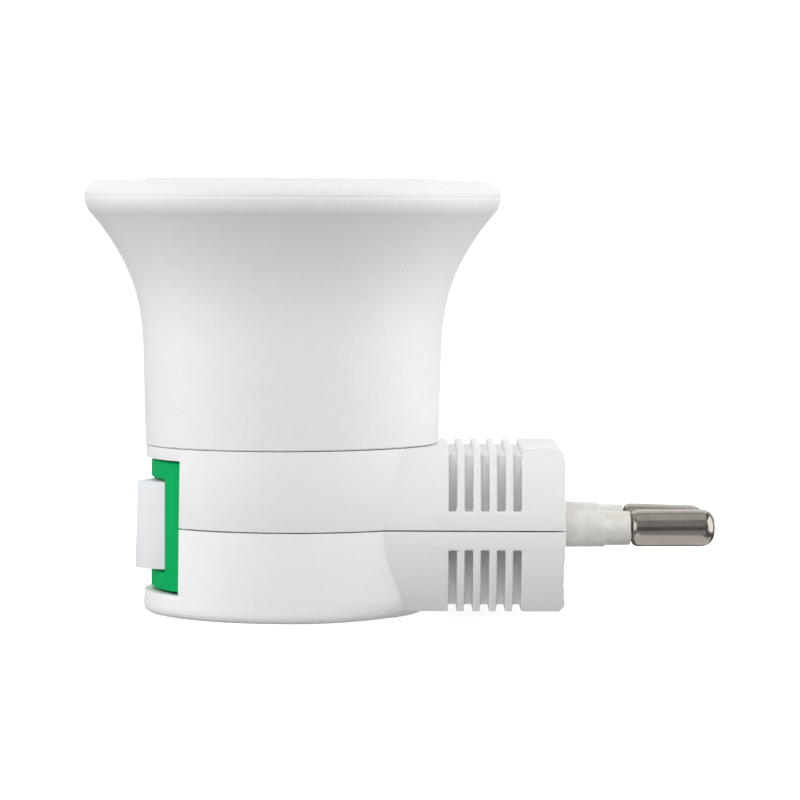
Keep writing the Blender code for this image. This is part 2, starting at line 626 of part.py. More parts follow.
def build_insert(material):
    """The sleeve in the bell: a raised ring on the rim, a chamfered mouth and a drilled floor."""
    top = INSERT_TOP_Z
    edge = INSERT_PROUD
    ring = arc((INSERT_FLANGE_RADIUS - edge, top - edge), edge, 0.0, math.pi / 2, 3)
    mouth = arc((MOUTH_RADIUS + edge, top - edge), edge, math.pi / 2, math.pi, 3)
    floor_z = INSERT_BOTTOM_Z + INSERT_FLOOR
    profile = [(INSERT_RADIUS, INSERT_BOTTOM_Z), (INSERT_RADIUS, top - INSERT_FLANGE),
               (INSERT_FLANGE_RADIUS, top - INSERT_FLANGE)] + ring + mouth
    profile += [(INSERT_BORE, top - MOUTH_CHAMFER_DEPTH), (INSERT_BORE, floor_z),
                (INSERT_FLOOR_HOLE, floor_z), (INSERT_FLOOR_HOLE, INSERT_BOTTOM_Z)]
    insert = turned("socket_insert", profile, material=material)
    for side in (-1, 1):
        cut(insert, rod("screw_hole", SCREW_RADIUS + GAP, INSERT_BOTTOM_Z - WALL, floor_z + WALL,
                        "Z", (SOCKET_SCREW_X, side * SOCKET_SCREW_Y)))
    half = CONTACT_HALF_WIDTH + GAP
    cut(insert, box("side_tail_slot", (INSERT_FLOOR_HOLE / 2, -half, INSERT_BOTTOM_Z - WALL),
                    (SIDE_TAIL_X + STRIP / 2 + GAP, half, floor_z + WALL)))
    return insert


def build_screw_shell(material):
    """A thin brass sleeve with the thread rolled into it, turned in at the bottom."""
    pitch_rows = THREAD_PITCH / THREAD_ROWS_PER_TURN
    rows = int(SHELL_HEIGHT / pitch_rows)
    bottom = SHELL_BOTTOM_Z
    inner = THREAD_MINOR_RADIUS + THREAD_DEPTH / 2
    outer = inner + SHELL_METAL
    wall_bottom = bottom + SHELL_METAL
    wall = [wall_bottom + (SHELL_HEIGHT - SHELL_METAL) * i / rows for i in range(rows + 1)]
    profile = [(SHELL_FLANGE_RADIUS, bottom), (outer, bottom)] + [(outer, z) for z in wall]
    profile += [(inner, z) for z in reversed(wall)] + [(SHELL_FLANGE_RADIUS, wall_bottom)]
    shell = turned("screw_shell", profile, THREAD_STEPS, material)
    wave_start = wall_bottom + THREAD_PITCH / 2
    wave_end = bottom + SHELL_HEIGHT - THREAD_PITCH / 4
    for vertex in shell.data.vertices:
        x, y, z = vertex.co
        radius = math.hypot(x, y)
        if radius < inner - GAP:
            continue
        rise = min(max((z - wall_bottom) / (wave_start - wall_bottom), 0.0), 1.0)
        fade = min(max((bottom + SHELL_HEIGHT - z) / (bottom + SHELL_HEIGHT - wave_end), 0.0), 1.0)
        wave = math.cos(math.tau * z / THREAD_PITCH - math.atan2(y, x)) * THREAD_DEPTH / 2
        scale = (radius + wave * rise * fade) / radius
        vertex.co.x = x * scale
        vertex.co.y = y * scale
    cut(shell, rod("rivet_hole", RIVET_RADIUS + GAP, bottom - GAP, wall_bottom + GAP, "Z",
                   (SIDE_RIVET_X, 0.0), RIVET_STEPS))
    return shell


def tail_slot(x, half_width):
    reach = STRIP / 2 + GAP
    return box("tail_slot", (x - reach, -half_width - GAP, CONTACT_BASE_Z - WALL),
               (x + reach, half_width + GAP, CONTACT_BASE_TOP_Z + WALL))


def build_contact_base(material):
    """The insulating disc: seats for both contacts, tail slots and riveted holes."""
    base = rod("contact_base", INSERT_BORE - GAP, CONTACT_BASE_Z, CONTACT_BASE_TOP_Z, steps=ROUND_STEPS)
    base.data.materials.append(material)
    seat_z = CONTACT_BASE_TOP_Z - STRIP - GAP
    half = CONTACT_HALF_WIDTH + GAP
    seat_end = SIDE_RIVET_X + RIVET_HEAD_RADIUS + GAP
    cut(base, box("side_seat", (SIDE_TAIL_X - STRIP, -half, seat_z),
                  (seat_end, half, CONTACT_BASE_TOP_Z + WALL)))
    cut(base, tail_slot(SIDE_TAIL_X, CONTACT_HALF_WIDTH))
    cut(base, tail_slot(CENTRE_TAIL_X, CONTACT_HALF_WIDTH))
    for x in (CENTRE_RIVET_X, SIDE_RIVET_X):
        cut(base, rod("rivet_hole", RIVET_RADIUS + GAP, CONTACT_BASE_Z - WALL, CONTACT_BASE_TOP_Z + WALL,
                      "Z", (x, 0.0), RIVET_STEPS))
        cut(base, rod("rivet_sink", RIVET_HEAD_RADIUS + GAP, CONTACT_BASE_Z - WALL,
                      CONTACT_BASE_Z + RIVET_HEAD + GAP, "Z", (x, 0.0), RIVET_STEPS))
    return base


def rivet_hole(contact, x, z):
    low = z - 2 * STRIP
    high = z + 2 * STRIP
    cut(contact, rod("rivet_hole", RIVET_RADIUS + GAP, low, high, "Z", (x, 0.0), RIVET_STEPS))


def build_centre_contact(material):
    """A spring tongue: riveted flat, folded down into its tail and sprung up over the centre."""
    seat = CONTACT_BASE_TOP_Z + GAP + STRIP / 2
    end_x = CENTRE_RIVET_X - RIVET_HEAD_RADIUS - GAP
    turn = STRIP * 2
    crown = seat + CONTACT_RISE
    tongue = [(end_x - turn, seat), (end_x - 2 * turn, seat + turn / 2), (end_x - 2 * turn, seat + turn * 2)]
    tongue += [(end_x - turn, seat + turn * 3), (-WALL, crown), (0.0, crown + STRIP / 2), (WALL, crown),
               (3 * WALL / 2, crown - WALL / 2)]
    path = [(CENTRE_TAIL_X, TAIL_BOTTOM_Z), (CENTRE_TAIL_X, seat - turn / 2),
            (CENTRE_TAIL_X - turn / 2, seat)]
    path += tongue
    contact = extruded("centre_contact", strip_outline(path, STRIP), -CONTACT_HALF_WIDTH, CONTACT_HALF_WIDTH,
                       "XZ", material)
    rivet_hole(contact, CENTRE_RIVET_X, seat)
    return contact


def build_side_contact(material):
    """A flat strip under the screw shell's flange, folded down into its tail."""
    seat = CONTACT_BASE_TOP_Z - STRIP / 2
    turn = STRIP
    tail = SIDE_TAIL_X
    start = SIDE_RIVET_X + RIVET_HEAD_RADIUS
    path = [(start, seat), (tail + turn, seat), (tail, seat - turn), (tail, TAIL_BOTTOM_Z)]
    contact = extruded("side_contact", strip_outline(path, STRIP), -CONTACT_HALF_WIDTH, CONTACT_HALF_WIDTH,
                       "XZ", material)
    rivet_hole(contact, SIDE_RIVET_X, seat)
    return contact


def build_rivet(name, x, head_z, material):
    low = CONTACT_BASE_Z + GAP / 2
    profile = [(0.0, low), (RIVET_HEAD_RADIUS, low), (RIVET_HEAD_RADIUS, low + RIVET_HEAD),
               (RIVET_RADIUS, low + RIVET_HEAD), (RIVET_RADIUS, head_z), (RIVET_HEAD_RADIUS, head_z),
               (RIVET_RADIUS, head_z + RIVET_HEAD), (0.0, head_z + RIVET_HEAD)]
    return turned(name, profile, RIVET_STEPS, material, "Z", (x, 0.0, 0.0))


def build_pin(name, side, material):
    """A turned pin: blunt nose, full-size contact length, shank in the sleeve, and a wire cup."""
    start = SLEEVE_END_X + GAP / 2
    tip = PIN_TIP_X
    profile = [(PIN_CUP_RADIUS, PIN_REAR_X), (PIN_SHANK_RADIUS, PIN_REAR_X), (PIN_SHANK_RADIUS, start),
               (PIN_RADIUS - PIN_SHOULDER_STEP, start), (PIN_RADIUS, start + PIN_SHOULDER)]
    profile += arc((PIN_RADIUS - PIN_NOSE, tip - PIN_NOSE), PIN_NOSE, 0.0, math.pi / 2, 3)
    cup = PIN_REAR_X + PIN_CUP_DEPTH
    profile += [(0.0, tip), (0.0, cup), (PIN_CUP_RADIUS, cup)]
    return turned(name, profile, PIN_STEPS, material, "X", (0.0, side * PIN_OFFSET_Y, PARTING_Z))


def build_sleeve(name, side, material):
    """The stepped insulating sleeve: flange in the block, thick boss, slimmer nose."""
    bore = PIN_SHANK_RADIUS + GAP
    profile = [(bore, SLEEVE_FLANGE_X), (SLEEVE_FLANGE_RADIUS, SLEEVE_FLANGE_X),
               (SLEEVE_FLANGE_RADIUS, SLEEVE_FLANGE_END_X), (SLEEVE_BOSS_RADIUS, SLEEVE_FLANGE_END_X),
               (SLEEVE_BOSS_RADIUS, SLEEVE_BOSS_END_X), (SLEEVE_RADIUS, SLEEVE_BOSS_END_X),
               (SLEEVE_RADIUS, SLEEVE_END_X), (bore, SLEEVE_END_X)]
    return turned(name, profile, PIN_STEPS, material, "X", (0.0, side * PIN_OFFSET_Y, PARTING_Z))


def build_switch_housing(material):
    """The green switch frame and box, seen through the opening in the two shells."""
    half = SWITCH_HALF_WIDTH
    face = SWITCH_FACE_RADIUS
    edge = SWITCH_EDGE_RADIUS
    edge_x = SWITCH_EDGE_X
    edge_y = SWITCH_EDGE_Y
    edge_angle = math.atan2(-edge_y, edge_x) % math.tau
    sweep = arc((0.0, 0.0), face, math.tau - edge_angle, edge_angle, 20)
    near = arc((edge_x, -edge_y), edge, edge_angle, math.tau * 0.75, 4)
    far = arc((edge_x, edge_y), edge, math.tau * 0.25, math.tau - edge_angle, 4)
    box_half = SWITCH_BOX_HALF_WIDTH
    outline = far[:-1] + sweep + near[1:] + [(SWITCH_FRAME_BACK_X, -half), (SWITCH_FRAME_BACK_X, -box_half),
                                              (SWITCH_BACK_X, -box_half), (SWITCH_BACK_X, box_half),
                                              (SWITCH_FRAME_BACK_X, box_half), (SWITCH_FRAME_BACK_X, half)]
    low = PARTING_Z - SWITCH_HEIGHT / 2
    high = PARTING_Z + SWITCH_HEIGHT / 2
    housing = extruded("switch_housing", outline, low, high, "XY", material)
    swing = ROCKER_RADIUS + GAP
    wall_x = CHAMBER_STEP
    turn = math.acos(wall_x / swing)
    chamber = [(PIVOT_X + x, y) for x, y in arc((0.0, 0.0), swing, turn, math.tau - turn, 30)]
    inner_x = SWITCH_BACK_X - SWITCH_BACK_WALL
    chamber_half = CHAMBER_HALF_WIDTH
    chamber += [(PIVOT_X + wall_x, -chamber_half), (inner_x, -chamber_half), (inner_x, chamber_half),
                (PIVOT_X + wall_x, chamber_half)]
    room = ROCKER_HEIGHT / 2 + GAP
    cut(housing, extruded("chamber", chamber, PARTING_Z - room, PARTING_Z + room))
    hole = room + TRUNNION_LENGTH
    low = PARTING_Z - hole
    high = PARTING_Z + hole
    cut(housing, rod("trunnion_hole", TRUNNION_RADIUS + GAP, low, high, "Z", (PIVOT_X, 0.0)))
    for y in (0.0, -CONTACT_DOT_Y):
        width = TERMINAL_THICKNESS / 2 + GAP
        height = TERMINAL_HALF_HEIGHT + GAP
        cut(housing, box("terminal_slot", (inner_x - GAP, y - width, PARTING_Z - height),
                         (SWITCH_BACK_X + GAP, y + width, PARTING_Z + height)))
    return housing


def at_pivot(item, x, angle):
    """Set a piece that was drawn round the origin on its pivot, turned to its rest angle."""
    item.location = (x, 0.0, PARTING_Z)
    item.rotation_euler = (0.0, 0.0, angle)


def build_rocker(material):
    """A hollow rocker: dished face, end walls round the pivot, cheeks, trunnions and plunger tube."""
    radius = ROCKER_RADIUS
    tip = ROCKER_TIP_ANGLE
    tip_x = -radius * math.cos(tip)
    tip_y = radius * math.sin(tip)
    dish_radius = (tip_y ** 2 + ROCKER_DISH ** 2) / (2 * ROCKER_DISH)
    dish_angle = math.asin(tip_y / dish_radius)
    dish_centre = (tip_x + ROCKER_DISH - dish_radius, 0.0)
    face = arc(dish_centre, dish_radius, dish_angle, -dish_angle, 8)
    back = math.acos(ROCKER_BACK / radius)
    far_wall = arc((0.0, 0.0), radius, back, math.pi - tip, 9)
    near_wall = arc((0.0, 0.0), radius, math.pi + tip, math.tau - back, 9)
    half = ROCKER_HEIGHT / 2
    rocker = extruded("rocker", far_wall + face[1:-1] + near_wall, -half, half, "XY", material)
    inner = radius - ROCKER_WALL
    hollow_x = tip_x + ROCKER_DISH + ROCKER_WALL
    hollow_angle = math.acos(-hollow_x / inner)
    open_angle = math.acos((ROCKER_BACK + WALL) / inner)
    hollow = arc((0.0, 0.0), inner, open_angle, math.pi - hollow_angle, 9)
    hollow += arc((0.0, 0.0), inner, math.pi + hollow_angle, math.tau - open_angle, 9)
    cheek = half - ROCKER_WALL
    cut(rocker, extruded("hollow", hollow, -cheek, cheek))
    join(rocker, rod("plunger_tube", PLUNGER_TUBE_RADIUS, hollow_x - WALL / 3, PLUNGER_TUBE_END, "X"))
    for side in (-1, 1):
        low, high = sorted((side * (half - ROCKER_WALL / 2), side * (half + TRUNNION_LENGTH)))
        join(rocker, rod("trunnion", TRUNNION_RADIUS, low, high))
    cut(rocker, rod("bore", PLUNGER_BORE, PLUNGER_BORE_START, PLUNGER_TUBE_END + WALL, "X"))
    at_pivot(rocker, PIVOT_X, -ROCKER_TILT)
    return rocker


def build_plunger(material):
    nose = PLUNGER_NOSE_RADIUS
    shaft = PLUNGER_BORE - GAP
    profile = [(0.0, PLUNGER_START), (shaft, PLUNGER_START), (shaft, PLUNGER_TIP - 3 * nose)]
    profile += arc((0.0, PLUNGER_TIP - nose), nose, 0.0, math.pi / 2, 4)
    plunger = turned("plunger", profile, SMALL_STEPS, material, "X")
    at_pivot(plunger, PIVOT_X, -ROCKER_TILT)
    return plunger


def build_plunger_spring(material):
    radius = PLUNGER_BORE - GAP - SPRING_WIRE_RADIUS
    start = PLUNGER_BORE_START + GAP + SPRING_WIRE_RADIUS
    end = PLUNGER_START - GAP - SPRING_WIRE_RADIUS
    spring = coil("plunger_spring", radius, SPRING_WIRE_RADIUS, start, end, SPRING_TURNS, material)
    at_pivot(spring, PIVOT_X, -ROCKER_TILT)
    return spring


def build_contact_lever(material):
    """The see-saw inside the switch, with a contact dot under its near arm."""
    reach = LEVER_HALF_LENGTH
    half = LEVER_HALF_WIDTH
    lever = box("contact_lever", (-LEVER_THICKNESS, -reach, -half), (0.0, reach, half))
    lever.data.materials.append(material)
    root = -LEVER_THICKNESS / 2
    dot = [(0.0, root), (CONTACT_DOT_RADIUS, root), (CONTACT_DOT_RADIUS, CONTACT_DOT_HEIGHT / 2),
           (CONTACT_DOT_RADIUS / 2, CONTACT_DOT_HEIGHT), (0.0, CONTACT_DOT_HEIGHT)]
    join(lever, turned("dot", dot, RIVET_STEPS, None, "X", (0.0, -CONTACT_DOT_Y, 0.0)))
    at_pivot(lever, LEVER_PIVOT_X, LEVER_TILT)
    return lever


def build_common_terminal(material):
    """The blade that the lever rocks on, out through the back of the switch."""
    half = TERMINAL_HALF_HEIGHT
    terminal = box("terminal_common", (LEVER_PIVOT_X + GAP, -TERMINAL_THICKNESS / 2, PARTING_Z - half),
                   (TERMINAL_END_X, TERMINAL_THICKNESS / 2, PARTING_Z + half))
    terminal.data.materials.append(material)
    return terminal


def build_fixed_terminal(material):
    """The blade with the fixed contact, under the near arm of the lever."""
    half = TERMINAL_HALF_HEIGHT
    head_end = SWITCH_BACK_X - SWITCH_BACK_WALL - GAP
    head_start = head_end - TERMINAL_THICKNESS
    y = -CONTACT_DOT_Y
    low = PARTING_Z - half
    high = PARTING_Z + half
    thin = TERMINAL_THICKNESS / 2
    terminal = box("terminal_fixed", (head_end - thin, y - thin, low), (TERMINAL_END_X, y + thin, high))
    terminal.data.materials.append(material)
    join(terminal, box("head", (head_start, y - half, low), (head_end, y + half, high)))
    return terminal


def build_wires(live, neutral):
    """Pin to switch, switch to centre contact and pin to side contact, clear of bosses and ribs."""
    cup_end = PIN_REAR_X + PIN_CUP_DEPTH - 2 * GAP
    pin_exit = PIN_REAR_X - WALL
    start = TERMINAL_END_X + GAP
    bend = 2 * WIRE_RADIUS
    z = PARTING_Z
    over_switch = PARTING_Z + SWITCH_HEIGHT / 2 + bend
    climb = over_switch - z
    joint_z = TAIL_BOTTOM_Z + WIRE_RADIUS
    beside_boss = (BLOCK_SCREW_X - SCREW_BOSS_RADIUS, BLOCK_CAVITY_HALF_WIDTH - bend)
    beside_centre = CENTRE_TAIL_X + STRIP / 2 + GAP + WIRE_RADIUS
    beside_side = SIDE_TAIL_X - STRIP / 2 - GAP - WIRE_RADIUS
    halfway = (start + beside_boss[0]) / 2

    live_in = [(cup_end, -PIN_OFFSET_Y, z), (pin_exit, -PIN_OFFSET_Y, z),
               (beside_boss[0], -beside_boss[1], z - WIRE_DIP), (halfway, -CONTACT_DOT_Y, z - WIRE_DIP),
               (start + bend, -CONTACT_DOT_Y, z), (start, -CONTACT_DOT_Y, z)]
    tube("wire_live_in", live_in, WIRE_RADIUS, live)

    riser = start + bend
    live_out = [(start, 0.0, z), (riser, -WIRE_RADIUS, z + WIRE_DIP / 2), (riser, -bend, z + climb / 4),
                (riser, -bend, z + 2 * climb / 3),
                (beside_centre + bend, -WIRE_RADIUS, over_switch - WIRE_RADIUS / 2),
                (beside_centre, 0.0, over_switch + WIRE_RADIUS / 2), (beside_centre, 0.0, joint_z)]
    tube("wire_live_out", live_out, WIRE_RADIUS, live)

    neutral_path = [(cup_end, PIN_OFFSET_Y, z), (pin_exit, PIN_OFFSET_Y, z),
                    (beside_boss[0], beside_boss[1], z + WIRE_DIP), (halfway, CONTACT_DOT_Y, z + climb / 3),
                    (beside_side, bend, z + 2 * climb / 3), (beside_side, WIRE_RADIUS, over_switch),
                    (beside_side, 0.0, joint_z)]
    tube("wire_neutral", neutral_path, WIRE_RADIUS, neutral)


def build_screw(name, place, seat_z, length, material):
    """A pan-head screw pointing up, with a cross recess in its head."""
    head_z = seat_z - GAP
    low = head_z - SCREW_HEAD
    edge = SCREW_HEAD / 3
    tip = seat_z + length
    profile = [(0.0, low), (SCREW_HEAD_RADIUS - edge, low), (SCREW_HEAD_RADIUS, low + edge),
               (SCREW_HEAD_RADIUS, head_z), (SCREW_RADIUS, head_z), (SCREW_RADIUS, tip - 2 * edge),
               (SCREW_RADIUS / 3, tip), (0.0, tip)]
    screw = turned(name, profile, SMALL_STEPS, material, "Z", (place[0], place[1], 0.0))
    for along_x, along_y in ((RECESS_REACH, RECESS_HALF_WIDTH), (RECESS_HALF_WIDTH, RECESS_REACH)):
        cut(screw, box("recess", (place[0] - along_x, place[1] - along_y, low - GAP),
                       (place[0] + along_x, place[1] + along_y, low + RECESS_DEPTH)))
    return screw


def main():
    clear_scene()
    white = make_material("white_plastic", (0.80, 0.80, 0.81), 0.55)
    insert_white = make_material("insert_plastic", (0.78, 0.78, 0.78), 0.50)
    green = make_material("green_plastic", (0.0, 0.42, 0.12), 0.22)
    knob_white = make_material("rocker_plastic", (0.70, 0.71, 0.73), 0.45)
    sleeve_white = make_material("sleeve_plastic", (0.66, 0.65, 0.62), 0.50)
    nickel = make_material("nickel", (0.60, 0.57, 0.53), 0.22, 1.0)
    brass = make_material("brass", (0.72, 0.52, 0.22), 0.30, 1.0)
    steel = make_material("steel", (0.55, 0.55, 0.56), 0.30, 1.0)
    ceramic = make_material("contact_disc", (0.74, 0.72, 0.68), 0.60)
    live = make_material("live_wire", (0.20, 0.09, 0.04), 0.50)
    neutral = make_material("neutral_wire", (0.04, 0.16, 0.50), 0.50)
    build_lower_shell(white)
    build_upper_shell(white)
    build_collar(white)
    build_insert(insert_white)
    build_screw_shell(nickel)
    build_contact_base(ceramic)
    build_centre_contact(brass)
    build_side_contact(brass)
    build_rivet("centre_rivet", CENTRE_RIVET_X, CONTACT_BASE_TOP_Z + GAP + STRIP + GAP, brass)
    build_rivet("side_rivet", SIDE_RIVET_X, SHELL_BOTTOM_Z + SHELL_METAL + GAP, brass)
    for label, side in (("near", -1), ("far", 1)):
        build_pin("pin_" + label, side, nickel)
        build_sleeve("pin_sleeve_" + label, side, sleeve_white)
    build_switch_housing(green)
    build_rocker(knob_white)
    build_plunger(knob_white)
    build_plunger_spring(steel)
    build_contact_lever(brass)
    build_common_terminal(brass)
    build_fixed_terminal(brass)
    build_wires(live, neutral)
    for index, place in enumerate(SHELL_SCREW_PLACES):
        build_screw(f"shell_screw_{index + 1}", place, shell_screw_seat(place), SCREW_LENGTH, steel)
    for label, side in (("near", -1), ("far", 1)):
        seat = CEILING_Z
        length = INSERT_BOTTOM_Z + INSERT_FLOOR - WALL / 2 - seat
        place = (SOCKET_SCREW_X, side * SOCKET_SCREW_Y)
        build_screw("socket_screw_" + label, place, seat, length, steel)


main()
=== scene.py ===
import math

import bpy
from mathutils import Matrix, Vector


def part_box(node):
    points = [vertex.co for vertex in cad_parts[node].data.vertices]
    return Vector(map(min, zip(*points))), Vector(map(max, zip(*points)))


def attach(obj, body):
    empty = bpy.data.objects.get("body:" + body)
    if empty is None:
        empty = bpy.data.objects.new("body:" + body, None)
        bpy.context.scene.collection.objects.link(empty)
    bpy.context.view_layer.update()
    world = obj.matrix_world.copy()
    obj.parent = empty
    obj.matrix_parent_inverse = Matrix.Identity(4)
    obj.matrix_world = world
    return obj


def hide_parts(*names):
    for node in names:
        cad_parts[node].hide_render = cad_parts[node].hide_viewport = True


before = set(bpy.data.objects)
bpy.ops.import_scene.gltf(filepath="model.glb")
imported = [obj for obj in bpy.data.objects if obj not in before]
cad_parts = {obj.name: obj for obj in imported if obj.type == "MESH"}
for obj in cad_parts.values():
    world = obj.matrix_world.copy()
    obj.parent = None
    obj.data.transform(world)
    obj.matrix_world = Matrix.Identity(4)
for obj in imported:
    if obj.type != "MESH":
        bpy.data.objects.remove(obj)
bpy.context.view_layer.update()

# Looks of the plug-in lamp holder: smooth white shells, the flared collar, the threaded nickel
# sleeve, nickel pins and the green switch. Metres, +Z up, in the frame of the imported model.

MM = 0.001

# The photograph's camera: at rim height, in front of the body, looking down a little
CAMERA_PLACE = (14.09 * MM, -533.0 * MM, 54.56 * MM)
CAMERA_PITCH = math.radians(2.875)
CAMERA_ROLL = math.radians(-0.23)
CAMERA_LENS = 182.25
SENSOR = 36.0
CLIP_NEAR = 0.01
CLIP_FAR = 20.0

# The pale dish: a round floor, a curve in steps and a wall. Its glow grows from the middle outwards.
FLOOR_RADIUS = 2.2
FLOOR_POINTS = 96
FLOOR_MERGE = 0.1 * MM
SWEEP_STEPS = 10
SWEEP_REACH = 0.12
WALL_HEIGHT = 2.5
GLOW_START = 0.15
GLOW_END = 1.5
GLOW_LOW = 0.72
GLOW_HIGH = 0.82

# The softboxes: name, place, width and height, brightness, what each serves
PLAIN_WHITE = (1.0, 1.0, 1.0, 1.0)
TENT_BRIGHTNESS = 0.18
LIT_POINT = (0.01, 0.0, 0.03)
SOFTBOXES = [
    ("top_softbox", (0.05, -0.20, 0.90), (1.0, 0.9), 0.72, "both"),
    ("high_back_softbox", (0.0, 0.60, 0.70), (1.0, 0.7), 1.15, "both"),
    ("high_front_softbox", (0.0, -0.90, 0.75), (1.0, 0.6), 1.95, "diffuse"),
    ("front_fill", (0.0, -1.10, 0.15), (1.0, 0.5), 1.00, "diffuse"),
    ("left_softbox", (-0.80, -0.05, 0.20), (0.9, 0.9), 1.40, "both"),
    ("right_softbox", (0.80, -0.05, 0.20), (0.9, 0.9), 2.30, "both"),
    ("left_front_softbox", (-0.70, -0.70, 0.25), (0.6, 0.8), 1.85, "both"),
    ("left_back_softbox", (-0.70, 0.55, 0.25), (0.6, 0.8), 0.48, "both"),
    ("right_back_softbox", (0.70, 0.55, 0.25), (0.6, 0.8), 0.40, "both"),
    ("back_fill", (0.0, 1.10, 0.35), (1.2, 0.6), 0.8, "both"),
    ("low_left_fill", (-0.85, 0.10, -0.30), (0.8, 0.5), 0.85, "diffuse"),
    ("low_right_fill", (0.85, 0.10, -0.30), (0.8, 0.5), 0.85, "diffuse"),
    ("low_front_softbox", (0.0, -0.80, -0.45), (1.0, 0.5), 0.42, "diffuse"),
    ("high_front_card", (0.0, -0.95, 0.55), (1.6, 0.75), 0.30, "gloss"),
    ("low_front_card", (0.0, -0.90, -0.50), (1.6, 0.60), 0.34, "gloss"),
    ("table_glow", (0.05, -0.04, -0.40), (1.2, 0.55), 0.95, "gloss"),
]

# Turned pieces: steps round, and how near two points lie to be one
COLLAR_STEPS = 144
INSERT_STEPS = 128
SLEEVE_STEPS = 96
THREAD_STEPS = 72
PIN_STEPS = 64
TURN_MERGE = 0.002 * MM
TURN_SLIVER = 0.001 * MM
THREAD_MERGE = 0.01 * MM

# Copies of the solids: how near two points lie to be one, how flat two faces lie to be one,
# how sharp an edge is to be rounded, and in how many steps
COPY_MERGE = 0.005 * MM
FLAT_ANGLE = math.radians(0.6)
EDGE_ANGLE = math.radians(38)
EDGE_SEGMENTS = 3
KNOB_EDGE = 0.22 * MM
SHELL_EDGE = 0.10 * MM
SCREW_EDGE = 0.10 * MM
SMOOTH_DEGREES = 32
WIDE_SMOOTH_DEGREES = 60

# The joint between the halves, and the one under the collar, which closes towards the switch
PARTING_Z = 11.7 * MM
GAP = 0.3 * MM
JOINT_CLOSE = 0.06 * MM
FACE_NEAR = 0.02 * MM
SEAM_CLOSE = 0.17 * MM
SEAM_DROP = 0.14 * MM
SEAM_NEAR = 0.17 * MM
SHELL_LEAN = math.radians(0.35)
COLLAR_LEAN = math.radians(0.44)
SPIGOT_RADIUS = 17.0 * MM
BODY_RADIUS = 19.0 * MM

# The tongues in the joint, one on each side of the switch
TONGUE_X = -12.4 * MM
TONGUE_Y = 13.03 * MM
TONGUE_HEIGHT = 0.3 * MM
TONGUE_STRETCH = (9.0, 0.45, 1.0)

# The base edge: the radius of its curve, how much each ring grows from the floor up, and the
# places along X where the growth fades out
BASE_EDGE = 3.0 * MM
BASE_GROWTH = (2.35 * MM, 2.0 * MM, 1.6 * MM, 1.12 * MM, 0.60 * MM, 0.27 * MM, 0.12 * MM)
BASE_FADE = (11.0 * MM, 8.5 * MM, 6.0 * MM, 3.5 * MM)
BASE_INNER = 14.0 * MM
RING_NEAR = 0.03 * MM

# The grip grooves of the plug block
GROOVE_START = 21.0 * MM
GROOVE_END = 33.0 * MM
GROOVE_INNER = 10.0 * MM
GROOVE_CLEAR = 1.5 * MM
GROOVE_UPPER = 14.0 * MM
GROOVE_EDGE = 0.2 * MM
GROOVE_FLOOR = 11.2 * MM
GROOVE_LIFT = 0.3 * MM

# Small moves to the photo's outline, in mm: between which places along X, between which heights,
# and by how much. The block is fuller at its end corners, and the knob's foot stands out.
ANY = math.inf
LOWER_MOVES = [
    ((12.0, ANY), (1.1, 1.32), (0.0, 0.0, -0.12)),
    ((34.0, ANY), (-ANY, 2.5), (0.25, 0.0, 0.0)),
    ((34.5, ANY), (-ANY, 2.1), (0.08, 0.0, -0.08)),
]
UPPER_MOVES = [
    ((33.2, ANY), (20.0, ANY), (0.27, 0.0, 0.0)),
    ((34.0, 35.45), (21.0, 22.58), (0.18, 0.0, 0.13)),
]
KNOB_MOVES = [((-ANY, -15.0), (-ANY, 11.7), (-0.30, 0.0, 0.0))]

# The collar: rim, lip with its mould line, flare, drafted foot, bore and the recess for the insert
RIM_LIFT = 0.15 * MM
RIM_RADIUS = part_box("bell_collar")[1].x
RIM_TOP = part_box("bell_collar")[1].z + RIM_LIFT
COLLAR_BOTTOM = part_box("bell_collar")[0].z
LIP_RADIUS = 2.05 * MM
LIP_STEPS = 14
LIP_UNDER_RADIUS = 3.3 * MM
LIP_UNDER_DEGREES = 46
LIP_UNDER_STEPS = 9
MOULD_LINE_DEGREES = 3
MOULD_LINE_DEPTH = 0.04 * MM
MOULD_LINE_LOW = 0.10 * MM
MOULD_LINE_HIGH = 0.02 * MM
FLARE_START = (19.62 * MM, 34.5 * MM)
FLARE_LOW_PULL = 5.0 * MM
FLARE_HIGH_PULL = 9.5 * MM
FLARE_END_ANGLE = math.radians(40.0)
FLARE_STEPS = 26
COLLAR_DRAFT = math.radians(1.9)
COLLAR_BOTTOM_RADIUS = 19.30 * MM
COLLAR_EDGE = 0.15 * MM
COLLAR_BORE = 17.55 * MM
BORE_TOP = 51.5 * MM
BORE_SLOPE = 6 * GAP
RECESS_RADIUS = 19.7 * MM
RECESS_FLOOR = 54.9 * MM
INSERT_RADIUS = 15.8 * MM

# The threaded sleeve: the wave of its thread, its wall, and its plain foot and rim
THREAD_PITCH = 3.62 * MM
THREAD_CREST = 12.33 * MM
THREAD_DEPTH = 1.1 * MM
THREAD_MIDDLE = THREAD_CREST + THREAD_DEPTH / 2
THREAD_POINTS = 12
SLEEVE_METAL = 0.35 * MM
SLEEVE_NECK = THREAD_MIDDLE - 0.05 * MM
SLEEVE_FOOT_BORE = 9.2 * MM
SLEEVE_FOOT_HEIGHT = 1.4 * MM
SLEEVE_RIM_HEIGHT = 1.0 * MM

